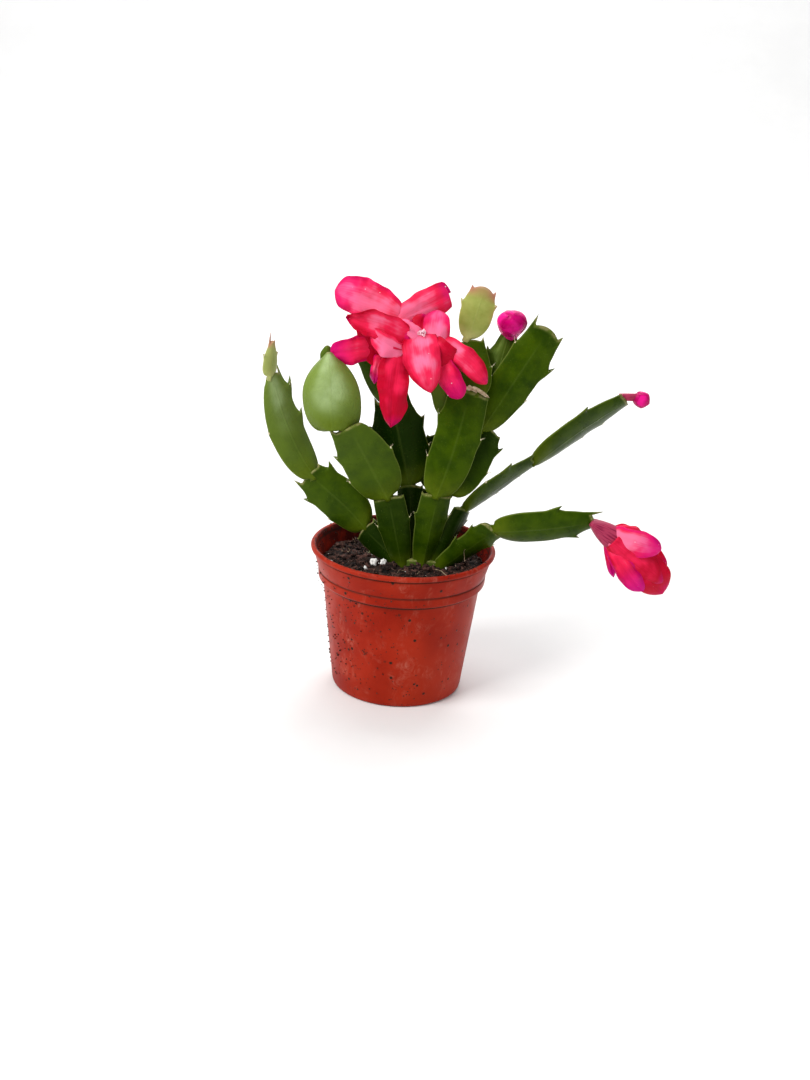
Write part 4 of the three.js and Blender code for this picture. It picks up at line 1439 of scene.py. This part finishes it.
ROUND_BUD = Bloom("round_bud_scales", "round_bud", (
    BUD_CORE,
    # The short lower scales are a darker crimson than the long ones, painted shade at the foot of
    # the bud.
    *(Scale(BUD_CORE, *place, lift=lift, flare=flare, thick=0.25, tone=tone)
      for place, lift, flare, tone in (
          ((15, 66, 0.0, 1.02), 0.12, 0.1, 0.3), ((140, 66, 0.0, 1.0), 0.2, 0.12, 0.4),
          ((258, 66, 0.0, 1.0), 0.28, 0.14, 0.4), ((320, 44, -0.04, 0.62), 0.36, 0.1, 0.65),
          ((80, 44, -0.04, 0.6), 0.36, 0.1, 0.6), ((200, 44, -0.04, 0.6), 0.36, 0.1, 0.65))),
), Finish.BUD, "bud")
SMALL_HEAD = tube((72.2, 16.6, 97.4), (77.0, 16.6, 95.4), 4.9, 4.7, 0.9, neck=0.5, belly=0.6,
                  end=0.5, tip=0.4)
SMALL_BUD = Bloom("small_bud_scales", "small_bud", (
    tube((67.0, 16.8, 97.0), (73.2, 16.6, 97.2), 2.6, 2.4, 1.5, neck=0.8, end=1.0, belly=0.9),
    SMALL_HEAD,
    *(Scale(SMALL_HEAD, turn, 70, 0.02, 0.98, tone=tone, lift=0.15, flare=0.1)
      for turn, tone in ((0, 0.7), (120, 0.85), (240, 0.7))),
), Finish.BUD, "bud")


@dataclass(frozen=True)
class Stamens:
    """The pale threads in the open flower's throat, each with its anther."""

    count: int = 12
    long: float = 4.4
    spread: float = 1.0
    seed: int = 5

    def build(self) -> bpy.types.Object:
        """Grows the threads from the throat.

        Returns:
            The object.
        """
        strands = Strands()
        draw = random.Random(self.seed)
        along, side, face, _ = OPEN_TUBE.axes()
        throat = Vector(OPEN_TUBE.stop) + along * 0.3
        for i in range(self.count):
            turn = 2 * math.pi * i / self.count
            out = side * math.cos(turn) + face * math.sin(turn)
            long = self.long * draw.uniform(0.75, 1.0)
            wide = self.spread * draw.uniform(0.3, 1.0)
            line = [throat + out * wide * (0.6 + 0.5 * s * s) + along * long * s
                    for s in STRAND_MARKS]
            strands.add(line, 0.14, 0.1)
            anther = Matrix.Translation(line[-1] * MM) @ Matrix.Diagonal((0.24, 0.24, 0.38, 1))
            bmesh.ops.create_icosphere(strands.bm, subdivisions=2, radius=MM, matrix=anther)
        piece = Piece("throat_stamens", "stamen", ("flower_stamens",))
        return piece.place(strands.done(), Finish.STAMEN.material())


@dataclass(frozen=True)
class DryHusk:
    """The beige remains of an older flower on the centre segment's tip.

    slips are the start, the stop and the width of each crumpled slip. step and columns are how
    finely its sheet is parted, in millimetres and strips.
    """

    slips: tuple[tuple[Point, Point, float], ...] = (
        ((16.2, -1.0, 101.2), (20.2, -1.2, 101.0), 1.1),
        ((18.8, -0.8, 101.6), (24.2, -0.6, 98.6), 1.1),
        ((17.4, -0.6, 102.2), (20.0, -1.6, 100.2), 0.9),
    )
    step: float = 0.25
    columns: int = 10

    def build(self) -> bpy.types.Object:
        """Lays a few crumpled slips on the tip.

        Returns:
            The object.
        """
        sheets = Sheets()
        for start, stop, width in self.slips:
            slip = petal(start, stop, width, 0.0, thick=0.35, lumps=1.2, ripple=2.0, curl=0.3)
            sheets.add(slip, self.step, self.columns)
        return Piece("dry_husk", "stem").place(sheets.done(), Finish.HUSK.material())


# ---------------------------------------------------------------- studio
@dataclass(frozen=True)
class Studio:
    """The pale floor, the soft lights and the camera.

    The camera's distance and aim are in millimetres, its angles in degrees and its focal
    length in pixels of a picture of frame_size. The floor's sizes are in metres: half its
    width, the places of its front and of the foot of its sweep, the sweep's radius and the
    height of the wall over it.
    """

    focal_pixels: float = 1400.0
    distance: float = 454.3
    elevation: float = 20.36
    roll: float = 3.2
    aim: Point = (0.0, 0.0, 48.4)
    aim_pixel: tuple[float, float] = (403.4, 543.9)
    frame_size: tuple[int, int] = (810, 1080)
    half: float = 3.0
    front: float = -2.0
    foot: float = 1.0
    sweep: float = 0.8
    wall: float = 2.0
    surround: float = 0.42

    def floor(self) -> None:
        """A floor that sweeps up into a backdrop."""
        bm = bmesh.new()
        ends = [bm.verts.new((x, self.front, 0)) for x in (-self.half, self.half)]
        edge = bm.edges.new(ends)
        moved = bmesh.ops.extrude_edge_only(bm, edges=[edge])["geom"]
        far = [e for e in moved if isinstance(e, bmesh.types.BMVert)]
        bmesh.ops.translate(bm, verts=far, vec=(0, self.foot - self.front, 0))
        rim = [e for e in moved if isinstance(e, bmesh.types.BMEdge)]
        swept = bmesh.ops.spin(bm, geom=far + rim, cent=(0, self.foot, self.sweep), axis=(1, 0, 0),
                               angle=math.pi / 2, steps=24)["geom_last"]
        top = [e for e in swept if isinstance(e, bmesh.types.BMEdge)]
        risen = bmesh.ops.extrude_edge_only(bm, edges=top)["geom"]
        upper = [e for e in risen if isinstance(e, bmesh.types.BMVert)]
        bmesh.ops.translate(bm, verts=upper, vec=(0, 0, self.wall))
        bmesh.ops.remove_doubles(bm, verts=bm.verts[:], dist=1e-5)
        mesh = bpy.data.meshes.new("studio_floor")
        bm.to_mesh(mesh)
        bm.free()
        for polygon in mesh.polygons:
            polygon.use_smooth = True
        mesh.materials.append(Finish.FLOOR.material())
        floor = bpy.data.objects.new("studio_floor", mesh)
        bpy.context.scene.collection.objects.link(floor)

    def light(self, name: str, place: Point, size: float, power: float, colour: Colour = (1, 1, 1),
              aim: Point = (0, 0, 0.07)) -> None:
        """A soft square light that looks at the plant, or at another place.

        Args:
            name: Its name.
            place: Where it hangs, in metres.
            size: The length of its side, in metres.
            power: Its power, in watts.
            colour: Its colour.
            aim: The point that it looks at, in metres.
        """
        lamp = bpy.data.lights.new(name, "AREA")
        lamp.size, lamp.energy, lamp.color = size, power, colour
        made = bpy.data.objects.new(name, lamp)
        made.location = place
        made.rotation_mode = "QUATERNION"
        made.rotation_quaternion = (Vector(aim) - Vector(place)).to_track_quat("-Z", "Y")
        bpy.context.scene.collection.objects.link(made)

    def lights(self) -> None:
        """A large key from the upper left, a weaker fill and a bright surround."""
        self.light("key", (-0.70, -0.55, 0.95), 0.6, 13.0, (1.0, 0.99, 0.97))
        self.light("fill", (0.85, -0.9, 0.6), 0.8, 2.0, (0.97, 0.99, 1.0))
        self.light("rim", (0.2, 0.75, 0.9), 0.5, 4.0)
        self.light("backdrop", (0, 0.6, 1.5), 1.2, 16.0, aim=(0, 1.8, 0.3))
        world = bpy.data.worlds.new("surround")
        world.use_nodes = True
        background = world.node_tree.nodes["Background"]
        background.inputs["Color"].default_value = (1, 1, 1, 1)
        background.inputs["Strength"].default_value = self.surround
        bpy.context.scene.world = world

    def camera(self) -> None:
        """The camera, at the angle and distance that the picture was taken from."""
        up, tilt = math.radians(self.elevation), math.radians(self.roll)
        ahead = Vector((0, math.cos(up), -math.sin(up)))
        level, above = Vector((1, 0, 0)), Vector((0, math.sin(up), math.cos(up)))
        right = level * math.cos(tilt) + above * math.sin(tilt)
        over = above * math.cos(tilt) - level * math.sin(tilt)
        lens = bpy.data.cameras.new("camera")
        lens.sensor_width = 36.0
        lens.lens = self.focal_pixels / max(self.frame_size) * lens.sensor_width
        lens.shift_x = (self.frame_size[0] / 2 - self.aim_pixel[0]) / max(self.frame_size)
        lens.shift_y = (self.aim_pixel[1] - self.frame_size[1] / 2) / max(self.frame_size)
        lens.clip_start = 0.01
        made = bpy.data.objects.new("camera", lens)
        made.rotation_mode = "QUATERNION"
        made.rotation_quaternion = Matrix((right, over, -ahead)).transposed().to_quaternion()
        made.location = (Vector(self.aim) - ahead * self.distance) * MM
        bpy.context.scene.collection.objects.link(made)
        bpy.context.scene.camera = made

    def build(self) -> None:
        """Sets up the studio."""
        bpy.context.scene.view_settings.view_transform = "Standard"
        self.floor()
        self.lights()
        self.camera()


def main() -> None:
    """Builds every piece in order, then the studio."""
    logging.basicConfig(level=logging.INFO, format="%(name)s %(message)s")
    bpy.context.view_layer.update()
    parts = [Pot(), Soil(), *BRANCHES, Bristles(), OPEN_FLOWER, Stamens(), HALF_OPEN_FLOWER,
             ROUND_BUD, SMALL_BUD, DryHusk(), Studio()]
    for part in parts:
        part.build()
        LOG.info("built %s", type(part).__name__)


if __name__ == "__main__":
    main()
